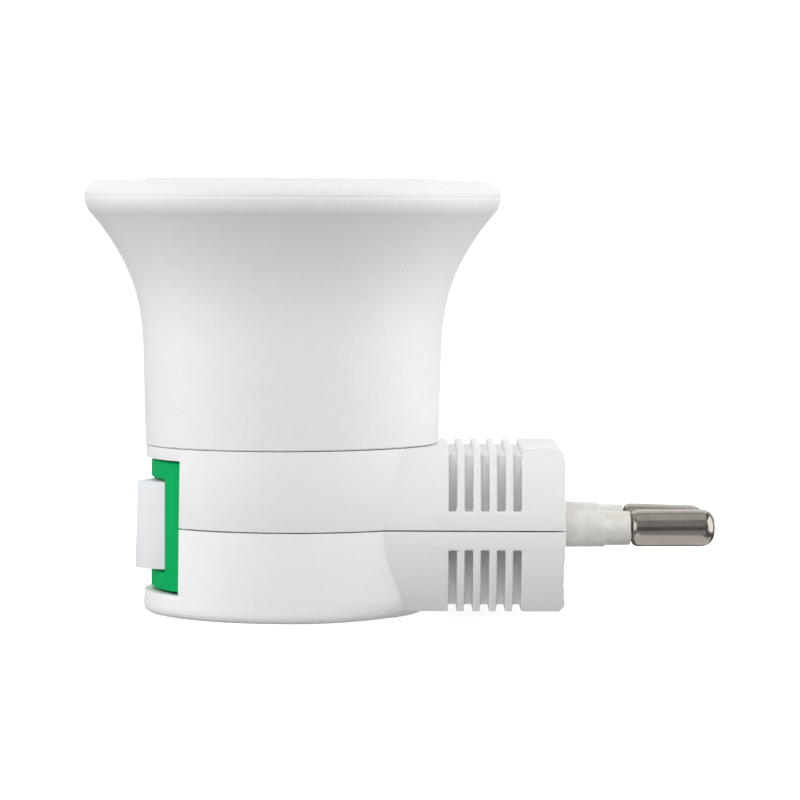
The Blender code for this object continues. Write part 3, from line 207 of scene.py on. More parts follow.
# The pins, which sit a little loose in the block's end face. Each step of the shoulder has its
# depth below the pin's radius and its distance from the start of the bare metal.
BLOCK_END_X = 35.45 * MM
NEAR_PIN_LEAN = math.radians(0.5)
FAR_PIN_LEAN = math.radians(-1.6)
FAR_PIN_DROP = 0.25 * MM
NOSE_LENGTH = 1.95 * MM
NOSE_POWER = 2.4
NOSE_STEPS = 14
PIN_SHOULDER = [
    (0.55 * MM, 0.0), (0.36 * MM, 0.08 * MM), (0.20 * MM, 0.26 * MM), (0.08 * MM, 0.52 * MM),
    (0.02 * MM, 0.80 * MM), (0.0, 1.10 * MM),
]

# Sockets of the node groups, and the colour sockets of a Mix node
COLOUR = "NodeSocketColor"
NUMBER = "NodeSocketFloat"
SKIN_OUTPUTS = [("Colour", COLOUR), ("Roughness", NUMBER), ("Height", NUMBER)]
MIX_FIRST = 6
MIX_SECOND = 7
MIX_RESULT = 2


def clear_selection():
    """Leave edit mode and deselect everything, the loaded solids too."""
    if bpy.context.object and bpy.context.object.mode != "OBJECT":
        bpy.ops.object.mode_set(mode="OBJECT")
    bpy.ops.object.select_all(action="DESELECT")


def make_active(piece):
    clear_selection()
    piece.select_set(True)
    bpy.context.view_layer.objects.active = piece


def apply_modifier(piece, kind, **settings):
    make_active(piece)
    modifier = piece.modifiers.new(kind.lower(), kind)
    for setting, value in settings.items():
        setattr(modifier, setting, value)
    bpy.ops.object.modifier_apply(modifier=modifier.name)


def smooth(piece, degrees=SMOOTH_DEGREES):
    make_active(piece)
    bpy.ops.object.shade_smooth_by_angle(angle=math.radians(degrees))


def start_outline(name, first):
    """A single vertex at the outline's first point, left in edit mode."""
    clear_selection()
    bpy.ops.mesh.primitive_plane_add(size=MM, location=(0, 0, 0))
    piece = bpy.context.object
    piece.name = name
    piece.data.name = name
    bpy.ops.object.mode_set(mode="EDIT")
    bpy.ops.mesh.select_mode(type="VERT")
    bpy.ops.mesh.select_all(action="SELECT")
    bpy.ops.mesh.merge(type="CENTER")
    bpy.ops.transform.translate(value=first)
    return piece


def draw_outline(points):
    """Extrude the selected vertex along the points that follow the first."""
    for before, after in zip(points, points[1:]):
        step = [b - a for a, b in zip(before, after)]
        bpy.ops.mesh.extrude_region_move(TRANSFORM_OT_translate={"value": step})


def turn(name, profile, steps, axis="Z", centre=(0.0, 0.0, 0.0), closed=True):
    """Draw a (radius, along) profile and spin it round an axis through the centre."""
    if axis == "Z":
        points = [(centre[0] + r, centre[1], centre[2] + h) for r, h in profile]
        direction = (0, 0, 1)
    else:
        points = [(centre[0] + h, centre[1], centre[2] + r) for r, h in profile]
        direction = (1, 0, 0)
    if closed:
        points.append(points[0])
    piece = start_outline(name, points[0])
    draw_outline(points)
    bpy.ops.mesh.select_all(action="SELECT")
    bpy.ops.mesh.spin(steps=steps, angle=math.tau, center=centre, axis=direction)
    bpy.ops.mesh.select_all(action="SELECT")
    bpy.ops.mesh.remove_doubles(threshold=TURN_MERGE)
    bpy.ops.mesh.dissolve_degenerate(threshold=TURN_SLIVER)
    bpy.ops.mesh.normals_make_consistent(inside=False)
    bpy.ops.object.mode_set(mode="OBJECT")
    smooth(piece)
    return piece


def arc(centre, radius, start, end, steps):
    """Points on an arc between two angles in degrees."""
    points = []
    for index in range(steps + 1):
        angle = math.radians(start + (end - start) * index / steps)
        points.append((centre[0] + radius * math.cos(angle), centre[1] + radius * math.sin(angle)))
    return points


def bezier(start, start_pull, end_pull, end, steps):
    """Points on a smooth curve that leaves and arrives along its two pulls."""
    points = []
    for index in range(steps + 1):
        t = index / steps
        s = 1.0 - t
        weights = (s ** 3, 3 * s * s * t, 3 * s * t * t, t ** 3)
        knots = (start, start_pull, end_pull, end)
        points.append(tuple(sum(w * k[axis] for w, k in zip(weights, knots)) for axis in (0, 1)))
    return points


def select_where(piece, test):
    """In edit mode, select just the vertices that pass the test, and tell whether any did."""
    bpy.ops.mesh.select_all(action="DESELECT")
    bpy.ops.object.mode_set(mode="OBJECT")
    chosen = 0
    for vertex in piece.data.vertices:
        vertex.select = test(vertex.co)
        chosen += vertex.select
    bpy.ops.object.mode_set(mode="EDIT")
    return chosen > 0


def tighten_joint(piece, face_z, move):
    """Slide the joint's flat face towards the other half, to the fine line of the photo."""
    if select_where(piece, lambda co: abs(co.z - face_z) < FACE_NEAR):
        bpy.ops.transform.translate(value=(0.0, 0.0, move))


def settle_joint(piece, face_z, lean):
    """Lower the ring at the collar joint, most on the switch side, where the joint is closed."""
    def on_seam(co):
        return abs(co.z - face_z) < SEAM_NEAR and math.hypot(co.x, co.y) > SPIGOT_RADIUS
    if select_where(piece, on_seam):
        hinge = (BODY_RADIUS, 0.0, face_z)
        bpy.ops.transform.translate(value=(0.0, 0.0, -SEAM_DROP))
        bpy.ops.transform.rotate(value=lean, orient_axis="Y", center_override=hinge)


def raise_groove_floors(piece):
    """Bring the floors of the upper grooves nearer to the block's sides."""
    for side in (-1, 1):
        def on_floor(co):
            near = abs(co.y - side * GROOVE_FLOOR) < FACE_NEAR
            return near and GROOVE_START < co.x < GROOVE_END and co.z > GROOVE_UPPER
        if select_where(piece, on_floor):
            bpy.ops.transform.translate(value=(0.0, side * GROOVE_LIFT, 0.0))


def soften_grooves(piece):
    """Round the edges of the grip grooves, which are softer than the rest of the block."""
    def in_grooves(co):
        off_joint = abs(co.z - PARTING_Z) > GROOVE_CLEAR
        return GROOVE_START < co.x < GROOVE_END and off_joint and abs(co.y) > GROOVE_INNER
    if select_where(piece, in_grooves):
        bpy.ops.mesh.select_mode(type="EDGE")
        bpy.ops.mesh.bevel(offset=GROOVE_EDGE, segments=EDGE_SEGMENTS, affect="EDGES")
        bpy.ops.mesh.select_mode(type="VERT")


def fuller_base(piece):
    """Swell the rings of the base edge, away from the plug block, to the tighter curve of the photo."""
    for index, grown in enumerate(BASE_GROWTH):
        turned = math.radians(90) * index / (len(BASE_GROWTH) - 1)
        height = BASE_EDGE * (1.0 - math.cos(turned))
        for reach in BASE_FADE:
            def on_ring(co):
                radius = math.hypot(co.x, co.y)
                return abs(co.z - height) < RING_NEAR and radius > BASE_INNER and co.x < reach
            if select_where(piece, on_ring):
                factor = 1.0 + grown / (len(BASE_FADE) * BODY_RADIUS)
                bpy.ops.transform.resize(value=(factor, factor, 1.0), center_override=(0.0, 0.0, 0.0))


def nudge(piece, rows):
    """Move the vertices of each row's region by the row's small step."""
    for along, up, move in rows:
        def in_region(co):
            inside = along[0] * MM < co.x < along[1] * MM
            return inside and up[0] * MM < co.z < up[1] * MM
        if select_where(piece, in_region):
            bpy.ops.transform.translate(value=[step * MM for step in move])


def rounded(name, node, radius, reshape=None):
    """A merged copy of a solid whose flat faces are whole again and whose edges are rounded."""
    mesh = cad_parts[node].data.copy()
    mesh.materials.clear()
    piece = bpy.data.objects.new(name, mesh)
    bpy.context.collection.objects.link(piece)
    make_active(piece)
    bpy.ops.object.mode_set(mode="EDIT")
    bpy.ops.mesh.select_all(action="SELECT")
    bpy.ops.mesh.remove_doubles(threshold=COPY_MERGE)
    bpy.ops.mesh.dissolve_limited(angle_limit=FLAT_ANGLE)
    bpy.ops.mesh.select_mode(type="VERT")
    if reshape:
        reshape(piece)
    bpy.ops.object.mode_set(mode="OBJECT")
    apply_modifier(piece, "BEVEL", width=radius, segments=EDGE_SEGMENTS, limit_method="ANGLE",
                   angle_limit=EDGE_ANGLE, miter_outer="MITER_ARC")
    smooth(piece)
    return piece


def stand_in(piece, nodes, body, material):
    """The finished piece shows in place of the solid, and moves with its body."""
    piece.data.materials.clear()
    piece.data.materials.append(material)
    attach(piece, body)
    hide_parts(*nodes)
    return piece


# Materials


def add_node(tree, kind, **values):
    """A new node with the values set on its sockets, or on itself where it has no such socket."""
    node = tree.nodes.new(kind)
    for name, value in values.items():
        if name in node.inputs:
            node.inputs[name].default_value = value
        else:
            setattr(node, name, value)
    return node


def new_group(name, inputs):
    """An empty node group with named sockets, and its input and output nodes."""
    group = bpy.data.node_groups.new(name, "ShaderNodeTree")
    for label, kind, value in inputs:
        socket = group.interface.new_socket(label, in_out="INPUT", socket_type=kind)
        socket.default_value = value
    for label, kind in SKIN_OUTPUTS:
        group.interface.new_socket(label, in_out="OUTPUT", socket_type=kind)
    return group, group.nodes.new("NodeGroupInput"), group.nodes.new("NodeGroupOutput")


def finish_group(group, given, result, mask, sheen, sheen_share, height):
    """Tint the colour by the mask, vary the gloss by the sheen, and pass the height on."""
    links = group.links
    tint = add_node(group, "ShaderNodeMix", data_type="RGBA")
    links.new(mask, tint.inputs["Factor"])
    links.new(given.outputs["Colour"], tint.inputs[MIX_FIRST])
    links.new(given.outputs["Shade"], tint.inputs[MIX_SECOND])
    links.new(tint.outputs[MIX_RESULT], result.inputs["Colour"])
    gloss = add_node(group, "ShaderNodeMath", operation="MULTIPLY_ADD")
    links.new(sheen, gloss.inputs[0])
    gloss.inputs[1].default_value = sheen_share
    links.new(given.outputs["Roughness"], gloss.inputs[2])
    links.new(gloss.outputs["Value"], result.inputs["Roughness"])
    links.new(height, result.inputs["Height"])


def moulded_skin_group():
    """Spark-eroded mould texture: fine grain in the height, soft mottling in colour and gloss."""
    group, given, result = new_group("moulded_skin", [
        ("Colour", COLOUR, (0.8, 0.8, 0.8, 1.0)),
        ("Shade", COLOUR, (0.6, 0.6, 0.6, 1.0)),
        ("Grain", NUMBER, 3600.0),
        ("Mottle", NUMBER, 0.14),
        ("Roughness", NUMBER, 0.5),
    ])
    links = group.links
    place = add_node(group, "ShaderNodeTexCoord")
    grain = add_node(group, "ShaderNodeTexNoise", Detail=3.0, Roughness=0.6)
    links.new(place.outputs["Object"], grain.inputs["Vector"])
    links.new(given.outputs["Grain"], grain.inputs["Scale"])
    mottle = add_node(group, "ShaderNodeTexNoise", Scale=420.0, Detail=4.0, Roughness=0.65)
    links.new(place.outputs["Object"], mottle.inputs["Vector"])
    spots = add_node(group, "ShaderNodeTexNoise", Scale=900.0, Detail=2.0)
    links.new(place.outputs["Object"], spots.inputs["Vector"])
    pick = add_node(group, "ShaderNodeMapRange", **{"From Min": 0.68, "From Max": 0.78, "To Max": 0.55})
    links.new(spots.outputs["Fac"], pick.inputs["Value"])
    soft = add_node(group, "ShaderNodeMapRange", **{"From Min": 0.35, "From Max": 0.75})
    links.new(mottle.outputs["Fac"], soft.inputs["Value"])
    links.new(given.outputs["Mottle"], soft.inputs["To Max"])
    both = add_node(group, "ShaderNodeMath", operation="MAXIMUM")
    links.new(pick.outputs["Result"], both.inputs[0])
    links.new(soft.outputs["Result"], both.inputs[1])
    finish_group(group, given, result, mask=both.outputs["Value"], sheen=mottle.outputs["Fac"],
                 sheen_share=0.16, height=grain.outputs["Fac"])
    return group


def drawn_metal_group():
    """Fine lines along X with a few deeper scuffs, for plated and pressed metal."""
    group, given, result = new_group("drawn_metal", [
        ("Colour", COLOUR, (0.6, 0.6, 0.6, 1.0)),
        ("Shade", COLOUR, (0.3, 0.3, 0.3, 1.0)),
        ("Roughness", NUMBER, 0.2),
    ])
    links = group.links
    place = add_node(group, "ShaderNodeTexCoord")
    stretch = add_node(group, "ShaderNodeMapping", Scale=(260.0, 5200.0, 5200.0))
    links.new(place.outputs["Object"], stretch.inputs["Vector"])
    lines = add_node(group, "ShaderNodeTexNoise", Scale=1.0, Detail=3.0)
    links.new(stretch.outputs["Vector"], lines.inputs["Vector"])
    cloud = add_node(group, "ShaderNodeTexNoise", Scale=700.0, Detail=3.0)
    links.new(place.outputs["Object"], cloud.inputs["Vector"])
    scuffs = add_node(group, "ShaderNodeMapRange", **{"From Min": 0.5, "From Max": 0.8, "To Max": 0.5})
    links.new(cloud.outputs["Fac"], scuffs.inputs["Value"])
    finish_group(group, given, result, mask=scuffs.outputs["Result"], sheen=lines.outputs["Fac"],
                 sheen_share=0.14, height=lines.outputs["Fac"])
    return group


MOULDED_SKIN = moulded_skin_group()
DRAWN_METAL = drawn_metal_group()


def finish_material(name, group, colour, shade, roughness, depth, metallic=0.0, mottle=None,
                    **shader_values):
    """A Principled material whose colour, gloss and bump come from one of the groups."""
    material = bpy.data.materials.new(name)
    material.use_nodes = True
    tree = material.node_tree
    shader = tree.nodes["Principled BSDF"]
    shader.inputs["Metallic"].default_value = metallic
    for label, value in shader_values.items():
        shader.inputs[label.replace("_", " ")].default_value = value
    skin = add_node(tree, "ShaderNodeGroup", node_tree=group)
    skin.inputs["Colour"].default_value = (*colour, 1.0)
    skin.inputs["Shade"].default_value = (*shade, 1.0)
    skin.inputs["Roughness"].default_value = roughness
    if mottle is not None:
        skin.inputs["Mottle"].default_value = mottle
    bump = add_node(tree, "ShaderNodeBump", Strength=1.0, Distance=depth)
    tree.links.new(skin.outputs["Colour"], shader.inputs["Base Color"])
    tree.links.new(skin.outputs["Roughness"], shader.inputs["Roughness"])
    tree.links.new(skin.outputs["Height"], bump.inputs["Height"])
    tree.links.new(bump.outputs["Normal"], shader.inputs["Normal"])
    return material


# Name, group, colour, shade, roughness, depth of the texture, and for metal a full metallic value
WHITE = finish_material(
    "white_shell", MOULDED_SKIN, (0.80, 0.80, 0.805), (0.70, 0.70, 0.70), 0.44, 0.06 * MM)
INSERT_WHITE = finish_material(
    "white_insert", MOULDED_SKIN, (0.80, 0.80, 0.79), (0.72, 0.71, 0.69), 0.36, 0.02 * MM)
GREEN = finish_material(
    "green_switch", MOULDED_SKIN, (0.001, 0.39, 0.105), (0.001, 0.32, 0.085), 0.34, 0.008 * MM,
    Specular_IOR_Level=0.015)
KNOB = finish_material(
    "rocker_white", MOULDED_SKIN, (0.72, 0.735, 0.755), (0.64, 0.65, 0.67), 0.36, 0.02 * MM)
SLEEVE = finish_material(
    "sleeve_white", MOULDED_SKIN, (0.75, 0.74, 0.71), (0.56, 0.53, 0.46), 0.42, 0.03 * MM,
    mottle=0.75)
DISC = finish_material(
    "contact_disc", MOULDED_SKIN, (0.72, 0.70, 0.65), (0.60, 0.57, 0.51), 0.60, 0.03 * MM)
NICKEL = finish_material(
    "nickel_plate", DRAWN_METAL, (0.33, 0.30, 0.27), (0.24, 0.21, 0.18), 0.13, 0.003 * MM, 1.0)
BRASS = finish_material(
    "brass_strip", DRAWN_METAL, (0.74, 0.54, 0.24), (0.55, 0.37, 0.15), 0.24, 0.005 * MM, 1.0)
STEEL = finish_material(
    "zinc_steel", DRAWN_METAL, (0.58, 0.58, 0.60), (0.42, 0.42, 0.44), 0.26, 0.006 * MM, 1.0)
BROWN_WIRE = finish_material(
    "brown_insulation", MOULDED_SKIN, (0.16, 0.065, 0.03), (0.10, 0.04, 0.02), 0.40, 0.01 * MM)
BLUE_WIRE = finish_material(
    "blue_insulation", MOULDED_SKIN, (0.03, 0.14, 0.46), (0.02, 0.09, 0.32), 0.40, 0.01 * MM)


# Collar and socket


def build_collar():
    """The flared collar: drafted foot, smooth flare, rounded lip with its fine mould line."""
    centre = (RIM_RADIUS - LIP_RADIUS, RIM_TOP - LIP_RADIUS)
    under = (RIM_RADIUS - LIP_UNDER_RADIUS, centre[1])
    line = RIM_RADIUS - MOULD_LINE_DEPTH
    lip = arc(under, LIP_UNDER_RADIUS, -LIP_UNDER_DEGREES, -MOULD_LINE_DEGREES, LIP_UNDER_STEPS)
    lip += [(line, centre[1] - MOULD_LINE_LOW), (line, centre[1] - MOULD_LINE_HIGH)]
    lip += arc(centre, LIP_RADIUS, MOULD_LINE_DEGREES, 90, LIP_STEPS)
    end = lip[0]
    start_pull = (FLARE_START[0] + FLARE_LOW_PULL * math.sin(COLLAR_DRAFT),
                  FLARE_START[1] + FLARE_LOW_PULL * math.cos(COLLAR_DRAFT))
    end_pull = (end[0] - FLARE_HIGH_PULL * math.sin(FLARE_END_ANGLE),
                end[1] - FLARE_HIGH_PULL * math.cos(FLARE_END_ANGLE))
    flare = bezier(FLARE_START, start_pull, end_pull, end, FLARE_STEPS)
    low = COLLAR_BOTTOM - SEAM_CLOSE
    insert_bore = INSERT_RADIUS + GAP
    profile = [(COLLAR_BOTTOM_RADIUS - COLLAR_EDGE, low), (COLLAR_BOTTOM_RADIUS, low + COLLAR_EDGE)]
    profile += flare + lip[1:]
    profile += [(RECESS_RADIUS + COLLAR_EDGE, RIM_TOP), (RECESS_RADIUS, RIM_TOP - COLLAR_EDGE),
                (RECESS_RADIUS, RECESS_FLOOR), (insert_bore, RECESS_FLOOR), (insert_bore, BORE_TOP),
                (COLLAR_BORE, BORE_TOP - BORE_SLOPE), (COLLAR_BORE, low)]
    collar = turn("flared_collar", profile, COLLAR_STEPS)
    make_active(collar)
    bpy.ops.object.mode_set(mode="EDIT")
    settle_joint(collar, low, COLLAR_LEAN)
    bpy.ops.object.mode_set(mode="OBJECT")
    stand_in(collar, ["bell_collar"], "holder", WHITE)


def build_insert():
    """The socket insert: the raised ring on the rim, the smooth mouth and the sleeve below."""
    low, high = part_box("socket_insert")
    ring_radius = high.x
    top = high.z
    proud = 0.5 * MM
    bore = 14.2 * MM
    mouth = 15.3 * MM
    flange = 1.7 * MM
    hole = 5.5 * MM
    floor_top = low.z + 2.9 * MM
    mouth_pull = top - 2.5 * MM
    bore_pull = top - 3.0 * MM
    funnel_end = top - 5.0 * MM
    corner_steps = 6
    funnel_steps = 8
    ring = arc((ring_radius - proud, top - proud), proud, 0, 90, corner_steps)
    lip = arc((mouth + proud, top - proud), proud, 90, 180, corner_steps)
    funnel = bezier((mouth, top - 2 * proud), (mouth, mouth_pull), (bore, bore_pull),
                    (bore, funnel_end), funnel_steps)
    profile = [(INSERT_RADIUS, low.z), (INSERT_RADIUS, top - flange), (ring_radius, top - flange)]
    profile += ring + lip + funnel
    profile += [(bore, floor_top), (hole, floor_top), (hole, low.z)]
    insert = turn("socket_sleeve", profile, INSERT_STEPS)
    stand_in(insert, ["socket_insert"], "holder", INSERT_WHITE)


def roll_thread(low, high, turns):
    """The knuckle thread: one pitch of the wave, screwed up the sleeve, cut level, given its wall."""
    start = low - THREAD_PITCH
    wave = []
    for index in range(THREAD_POINTS + 1):
        share = math.tau * index / THREAD_POINTS
        radius = THREAD_MIDDLE + THREAD_DEPTH / 2 * math.cos(share)
        wave.append((radius, 0.0, start + THREAD_PITCH * index / THREAD_POINTS))
    thread = start_outline("threaded_sleeve", wave[0])
    draw_outline(wave)
    apply_modifier(thread, "SCREW", axis="Z", angle=math.tau, screw_offset=THREAD_PITCH,
                   iterations=turns, steps=THREAD_STEPS, render_steps=THREAD_STEPS,
                   use_merge_vertices=True, merge_threshold=THREAD_MERGE)
    make_active(thread)
    bpy.ops.object.mode_set(mode="EDIT")
    for height, keep in ((low, "clear_inner"), (high, "clear_outer")):
        bpy.ops.mesh.select_all(action="SELECT")
        bpy.ops.mesh.bisect(plane_co=(0, 0, height), plane_no=(0, 0, 1), **{keep: True})
    bpy.ops.mesh.select_all(action="SELECT")
    bpy.ops.mesh.normals_make_consistent(inside=False)
    bpy.ops.object.mode_set(mode="OBJECT")
    apply_modifier(thread, "SOLIDIFY", thickness=SLEEVE_METAL, offset=1.0)
    smooth(thread, WIDE_SMOOTH_DEGREES)
    return thread


def build_screw_shell():
    """The threaded sleeve: the rolled thread between its plain foot and its plain rim."""
    low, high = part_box("screw_shell")
    thread_low = low.z + SLEEVE_FOOT_HEIGHT
    thread_high = high.z - SLEEVE_RIM_HEIGHT
    turns = math.ceil((high.z - low.z) / THREAD_PITCH) + 1
    thread = roll_thread(thread_low, thread_high, turns)
    metal = SLEEVE_METAL
    neck = SLEEVE_NECK
    outer = neck + metal
    foot_profile = [(SLEEVE_FOOT_BORE, low.z), (outer, low.z), (outer, thread_low + metal),
                    (neck, thread_low + metal), (neck, low.z + metal),
                    (SLEEVE_FOOT_BORE, low.z + metal)]
    foot = turn("sleeve_foot", foot_profile, SLEEVE_STEPS)
    rim_profile = [(neck, thread_high - metal), (outer, thread_high - metal), (outer, high.z),
                   (neck, high.z)]
    rim = turn("sleeve_rim", rim_profile, SLEEVE_STEPS)
    clear_selection()
    for piece in (foot, rim, thread):
        piece.select_set(True)
    bpy.context.view_layer.objects.active = thread
    bpy.ops.object.join()
    stand_in(thread, ["screw_shell"], "holder", NICKEL)


# Plug pins


def lean_pin(piece, lean, drop):
    """Tilt a pin or its sleeve at the block's end face, and lower it."""
    make_active(piece)
    bpy.ops.object.mode_set(mode="EDIT")
    bpy.ops.mesh.select_all(action="SELECT")
    hinge = (BLOCK_END_X, 0.0, PARTING_Z)
    bpy.ops.transform.rotate(value=lean, orient_axis="Y", center_override=hinge)
    bpy.ops.transform.translate(value=(0.0, 0.0, -drop))
    bpy.ops.object.mode_set(mode="OBJECT")


def pin_profile(low, high, metal_start):
    """Cup for the wire, slim shank, rounded shoulder and blunt nose."""
    radius = (high.z - low.z) / 2
    tip = high.x
    shank = 1.6 * MM
    cup = 1.2 * MM
    cup_floor = low.x + 4.0 * MM
    profile = [(0.0, cup_floor), (cup, cup_floor), (cup, low.x), (shank, low.x), (shank, metal_start)]
    profile += [(radius - below, metal_start + past) for below, past in PIN_SHOULDER]
    for index in range(NOSE_STEPS):
        share = index / NOSE_STEPS
        height = radius * (1.0 - share ** NOSE_POWER) ** (1.0 / NOSE_POWER)
        profile.append((height, tip - NOSE_LENGTH * (1.0 - share)))
    profile.append((0.0, tip))
    return profile


def pin_sleeve_profile(low, high):
    """Flange inside the block, thick boss and slim end."""
    bore = 1.9 * MM
    flange = (high.y - low.y) / 2
    flange_end = low.x + 1.3 * MM
    boss = 2.4 * MM
    boss_end = 40.76 * MM
    slim = 2.2 * MM
    edge = 0.12 * MM
    return [(bore, low.x), (flange, low.x), (flange, flange_end), (boss, flange_end),
            (boss, boss_end - edge), (boss - edge, boss_end), (slim + edge / 2, boss_end),
            (slim, boss_end + edge), (slim, high.x - 2 * edge), (slim - edge, high.x),
            (bore, high.x)]


def build_pin(name, node, sleeve_name, sleeve_node, lean, drop):
    """A nickel pin and its stepped sleeve, turned round the pin's centre line."""
    low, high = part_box(node)
    centre = (0.0, (low.y + high.y) / 2, (low.z + high.z) / 2)
    sleeve_low, sleeve_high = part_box(sleeve_node)
    profile = pin_profile(low, high, sleeve_high.x + GAP / 2)
    pin = turn(name, profile, PIN_STEPS, "X", centre, closed=False)
    lean_pin(pin, lean, drop)
    stand_in(pin, [node], "holder", NICKEL)
    profile = pin_sleeve_profile(sleeve_low, sleeve_high)
    sleeve = turn(sleeve_name, profile, PIN_STEPS, "X", centre)
    lean_pin(sleeve, lean, drop)
    stand_in(sleeve, [sleeve_node], "holder", SLEEVE)


# Everything else: rounded copies of the solids


def add_joint_tongues(piece):
    """A short tongue in the joint on each side of the switch, so that no green shows through."""
    make_active(piece)
    bpy.ops.object.mode_set(mode="EDIT")
    for side in (-1, 1):
        centre = (TONGUE_X, side * TONGUE_Y, PARTING_Z)
        bpy.ops.mesh.select_all(action="DESELECT")
        bpy.ops.mesh.primitive_cube_add(size=TONGUE_HEIGHT, location=centre)
        bpy.ops.transform.resize(value=TONGUE_STRETCH, center_override=centre)
    bpy.ops.object.mode_set(mode="OBJECT")


def reshape_lower(piece):
    tighten_joint(piece, PARTING_Z - GAP / 2, JOINT_CLOSE)
    soften_grooves(piece)
    nudge(piece, LOWER_MOVES)
    fuller_base(piece)


def reshape_upper(piece):
    tighten_joint(piece, PARTING_Z + GAP / 2, -JOINT_CLOSE)
    settle_joint(piece, COLLAR_BOTTOM - GAP, SHELL_LEAN)
    raise_groove_floors(piece)
    soften_grooves(piece)
    nudge(piece, UPPER_MOVES)


def reshape_knob(piece):
    nudge(piece, KNOB_MOVES)


def build_rounded_pieces():
    knob = rounded("rocker_button", "rocker", KNOB_EDGE, reshape=reshape_knob)
    stand_in(knob, ["rocker"], "rocker", KNOB)
    upper = rounded("upper_housing", "upper_shell", SHELL_EDGE, reshape=reshape_upper)
    stand_in(upper, ["upper_shell"], "holder", WHITE)
    lower = rounded("lower_housing", "lower_shell", SHELL_EDGE, reshape=reshape_lower)
    add_joint_tongues(lower)
    stand_in(lower, ["lower_shell"], "holder", WHITE)
    # Name, solid, edge radius, body, slot, material
    rows = [
        ("switch_frame", "switch_housing", 0.32 * MM, "holder", "green_plastic", GREEN),
        ("insulating_disc", "contact_base", 0.10 * MM, "holder", "contact_disc", DISC),
        ("centre_tongue", "centre_contact", 0.06 * MM, "holder", "brass", BRASS),
        ("side_strip", "side_contact", 0.06 * MM, "holder", "brass", BRASS),
        ("rivet_centre", "centre_rivet", 0.08 * MM, "holder", "brass", BRASS),
        ("rivet_side", "side_rivet", 0.08 * MM, "holder", "brass", BRASS),
        ("switch_lever", "contact_lever", 0.06 * MM, "contact_lever", "brass", BRASS),
        ("blade_common", "terminal_common", 0.06 * MM, "holder", "brass", BRASS),
        ("blade_fixed", "terminal_fixed", 0.06 * MM, "holder", "brass", BRASS),
        ("rocker_plunger", "plunger", 0.05 * MM, "rocker", "rocker_plastic", KNOB),
    ]
    screws = [(f"housing_screw_{index}", f"shell_screw_{index}") for index in (1, 2, 3)]
    screws += [(f"insert_screw_{label}", f"socket_screw_{label}") for label in ("near", "far")]
    rows += [(name, node, SCREW_EDGE, "holder", "steel", STEEL) for name, node in screws]
    for name, node, radius, body, slot, material in rows:
        stand_in(rounded(name, node, radius), [node], body, material)


def dress_plain_nodes():
    """Wires and the spring keep their solids and get their material."""
    rows = [("wire_live_in", BROWN_WIRE), ("wire_live_out", BROWN_WIRE), ("wire_neutral", BLUE_WIRE),
            ("plunger_spring", STEEL)]
    for node, material in rows:
        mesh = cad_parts[node].data
        mesh.materials.clear()
        mesh.materials.append(material)


# Floor, light and camera


def floor_material():
    """Pale and matt, with a glow that keeps the ground as bright as the photo's."""
    material = bpy.data.materials.new("pale_floor")
    material.use_nodes = True
    tree = material.node_tree
    shader = tree.nodes["Principled BSDF"]
    shader.inputs["Base Color"].default_value = (0.93, 0.93, 0.93, 1.0)
    shader.inputs["Roughness"].default_value = 0.9
    shader.inputs["Specular IOR Level"].default_value = 0.1
    shader.inputs["Emission Color"].default_value = PLAIN_WHITE
    place = add_node(tree, "ShaderNodeTexCoord")
    reach = add_node(tree, "ShaderNodeVectorMath", operation="LENGTH")
    tree.links.new(place.outputs["Object"], reach.inputs[0])
    glow = add_node(tree, "ShaderNodeMapRange", **{
        "From Min": GLOW_START, "From Max": GLOW_END, "To Min": GLOW_LOW, "To Max": GLOW_HIGH})
    tree.links.new(reach.outputs["Value"], glow.inputs["Value"])
    tree.links.new(glow.outputs["Result"], shader.inputs["Emission Strength"])
    return material


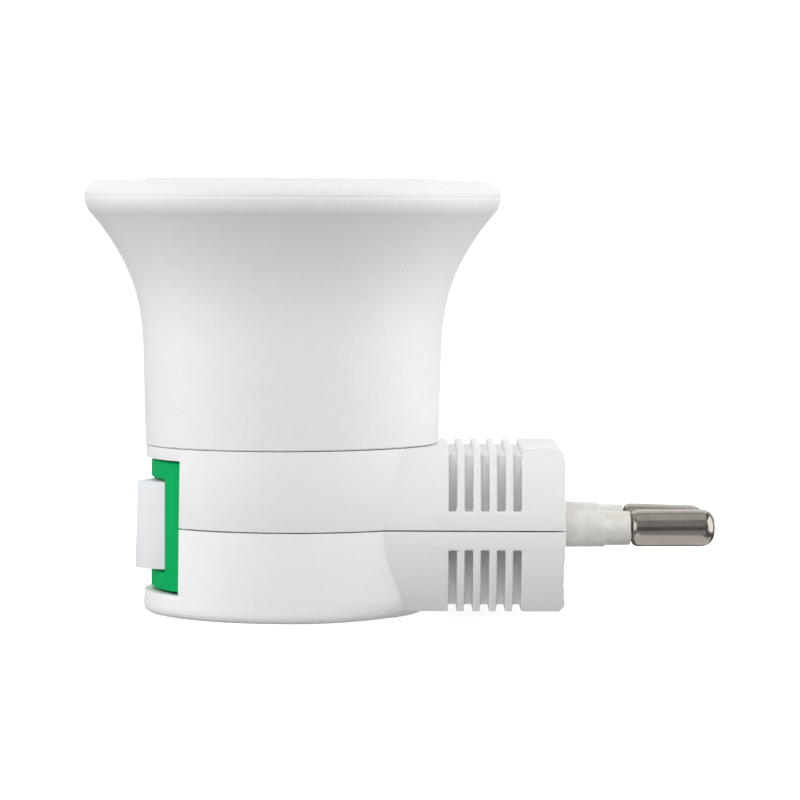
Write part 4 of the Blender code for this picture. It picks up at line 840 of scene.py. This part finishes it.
def build_floor():
    """A pale dish: a wide round floor that curves up into a wall far from the holder on every side."""
    clear_selection()
    bpy.ops.mesh.primitive_circle_add(vertices=FLOOR_POINTS, radius=FLOOR_RADIUS, fill_type="NGON",
                                      location=(0, 0, 0))
    floor = bpy.context.object
    floor.name = "pale_sweep"
    bpy.ops.object.mode_set(mode="EDIT")
    bpy.ops.mesh.select_mode(type="EDGE")
    bpy.ops.mesh.select_all(action="SELECT")
    bpy.ops.mesh.extrude_region_move()
    radius = FLOOR_RADIUS
    for step in range(SWEEP_STEPS):
        angle = math.radians(90 * (step + 0.5) / SWEEP_STEPS)
        grown = radius + SWEEP_REACH * math.cos(angle)
        bpy.ops.transform.resize(value=(grown / radius, grown / radius, 1.0))
        bpy.ops.transform.translate(value=(0.0, 0.0, SWEEP_REACH * math.sin(angle)))
        radius = grown
        bpy.ops.mesh.extrude_region_move()
    bpy.ops.transform.translate(value=(0.0, 0.0, WALL_HEIGHT))
    bpy.ops.mesh.select_all(action="SELECT")
    bpy.ops.mesh.remove_doubles(threshold=FLOOR_MERGE)
    bpy.ops.mesh.normals_make_consistent(inside=True)
    bpy.ops.object.mode_set(mode="OBJECT")
    smooth(floor, WIDE_SMOOTH_DEGREES)
    floor.visible_diffuse = False
    floor.visible_glossy = False
    floor.visible_shadow = False
    floor.data.materials.append(floor_material())


def aim(item, target):
    item.rotation_euler = (Vector(target) - item.location).to_track_quat("-Z", "Y").to_euler()


def add_softbox(name, place, size, brightness, use):
    """A softbox that faces the holder. Its power follows from how bright its front looks."""
    light = bpy.data.lights.new(name, "AREA")
    light.shape = "RECTANGLE"
    light.size = size[0]
    light.size_y = size[1]
    light.energy = brightness * math.pi * size[0] * size[1]
    item = bpy.data.objects.new(name, light)
    item.location = place
    bpy.context.collection.objects.link(item)
    aim(item, LIT_POINT)
    item.visible_camera = False
    item.visible_glossy = use != "diffuse"
    item.visible_diffuse = use != "gloss"


def build_lights():
    world = bpy.data.worlds.new("tent")
    world.use_nodes = True
    tent = world.node_tree.nodes["Background"]
    tent.inputs["Color"].default_value = PLAIN_WHITE
    tent.inputs["Strength"].default_value = TENT_BRIGHTNESS
    bpy.context.scene.world = world
    bpy.context.scene.view_settings.view_transform = "Standard"
    for row in SOFTBOXES:
        add_softbox(*row)


def build_camera():
    camera = bpy.data.cameras.new("photo_camera")
    camera.lens = CAMERA_LENS
    camera.sensor_width = SENSOR
    camera.sensor_fit = "HORIZONTAL"
    camera.clip_start = CLIP_NEAR
    camera.clip_end = CLIP_FAR
    item = bpy.data.objects.new("photo_camera", camera)
    item.location = CAMERA_PLACE
    item.rotation_euler = (math.pi / 2 - CAMERA_PITCH, CAMERA_ROLL, 0.0)
    bpy.context.collection.objects.link(item)
    bpy.context.scene.camera = item


build_camera()
build_floor()
build_lights()
build_collar()
build_insert()
build_screw_shell()
build_pin("near_pin", "pin_near", "near_pin_sleeve", "pin_sleeve_near", NEAR_PIN_LEAN, 0.0)
build_pin("far_pin", "pin_far", "far_pin_sleeve", "pin_sleeve_far", FAR_PIN_LEAN, FAR_PIN_DROP)
build_rounded_pieces()
dress_plain_nodes()
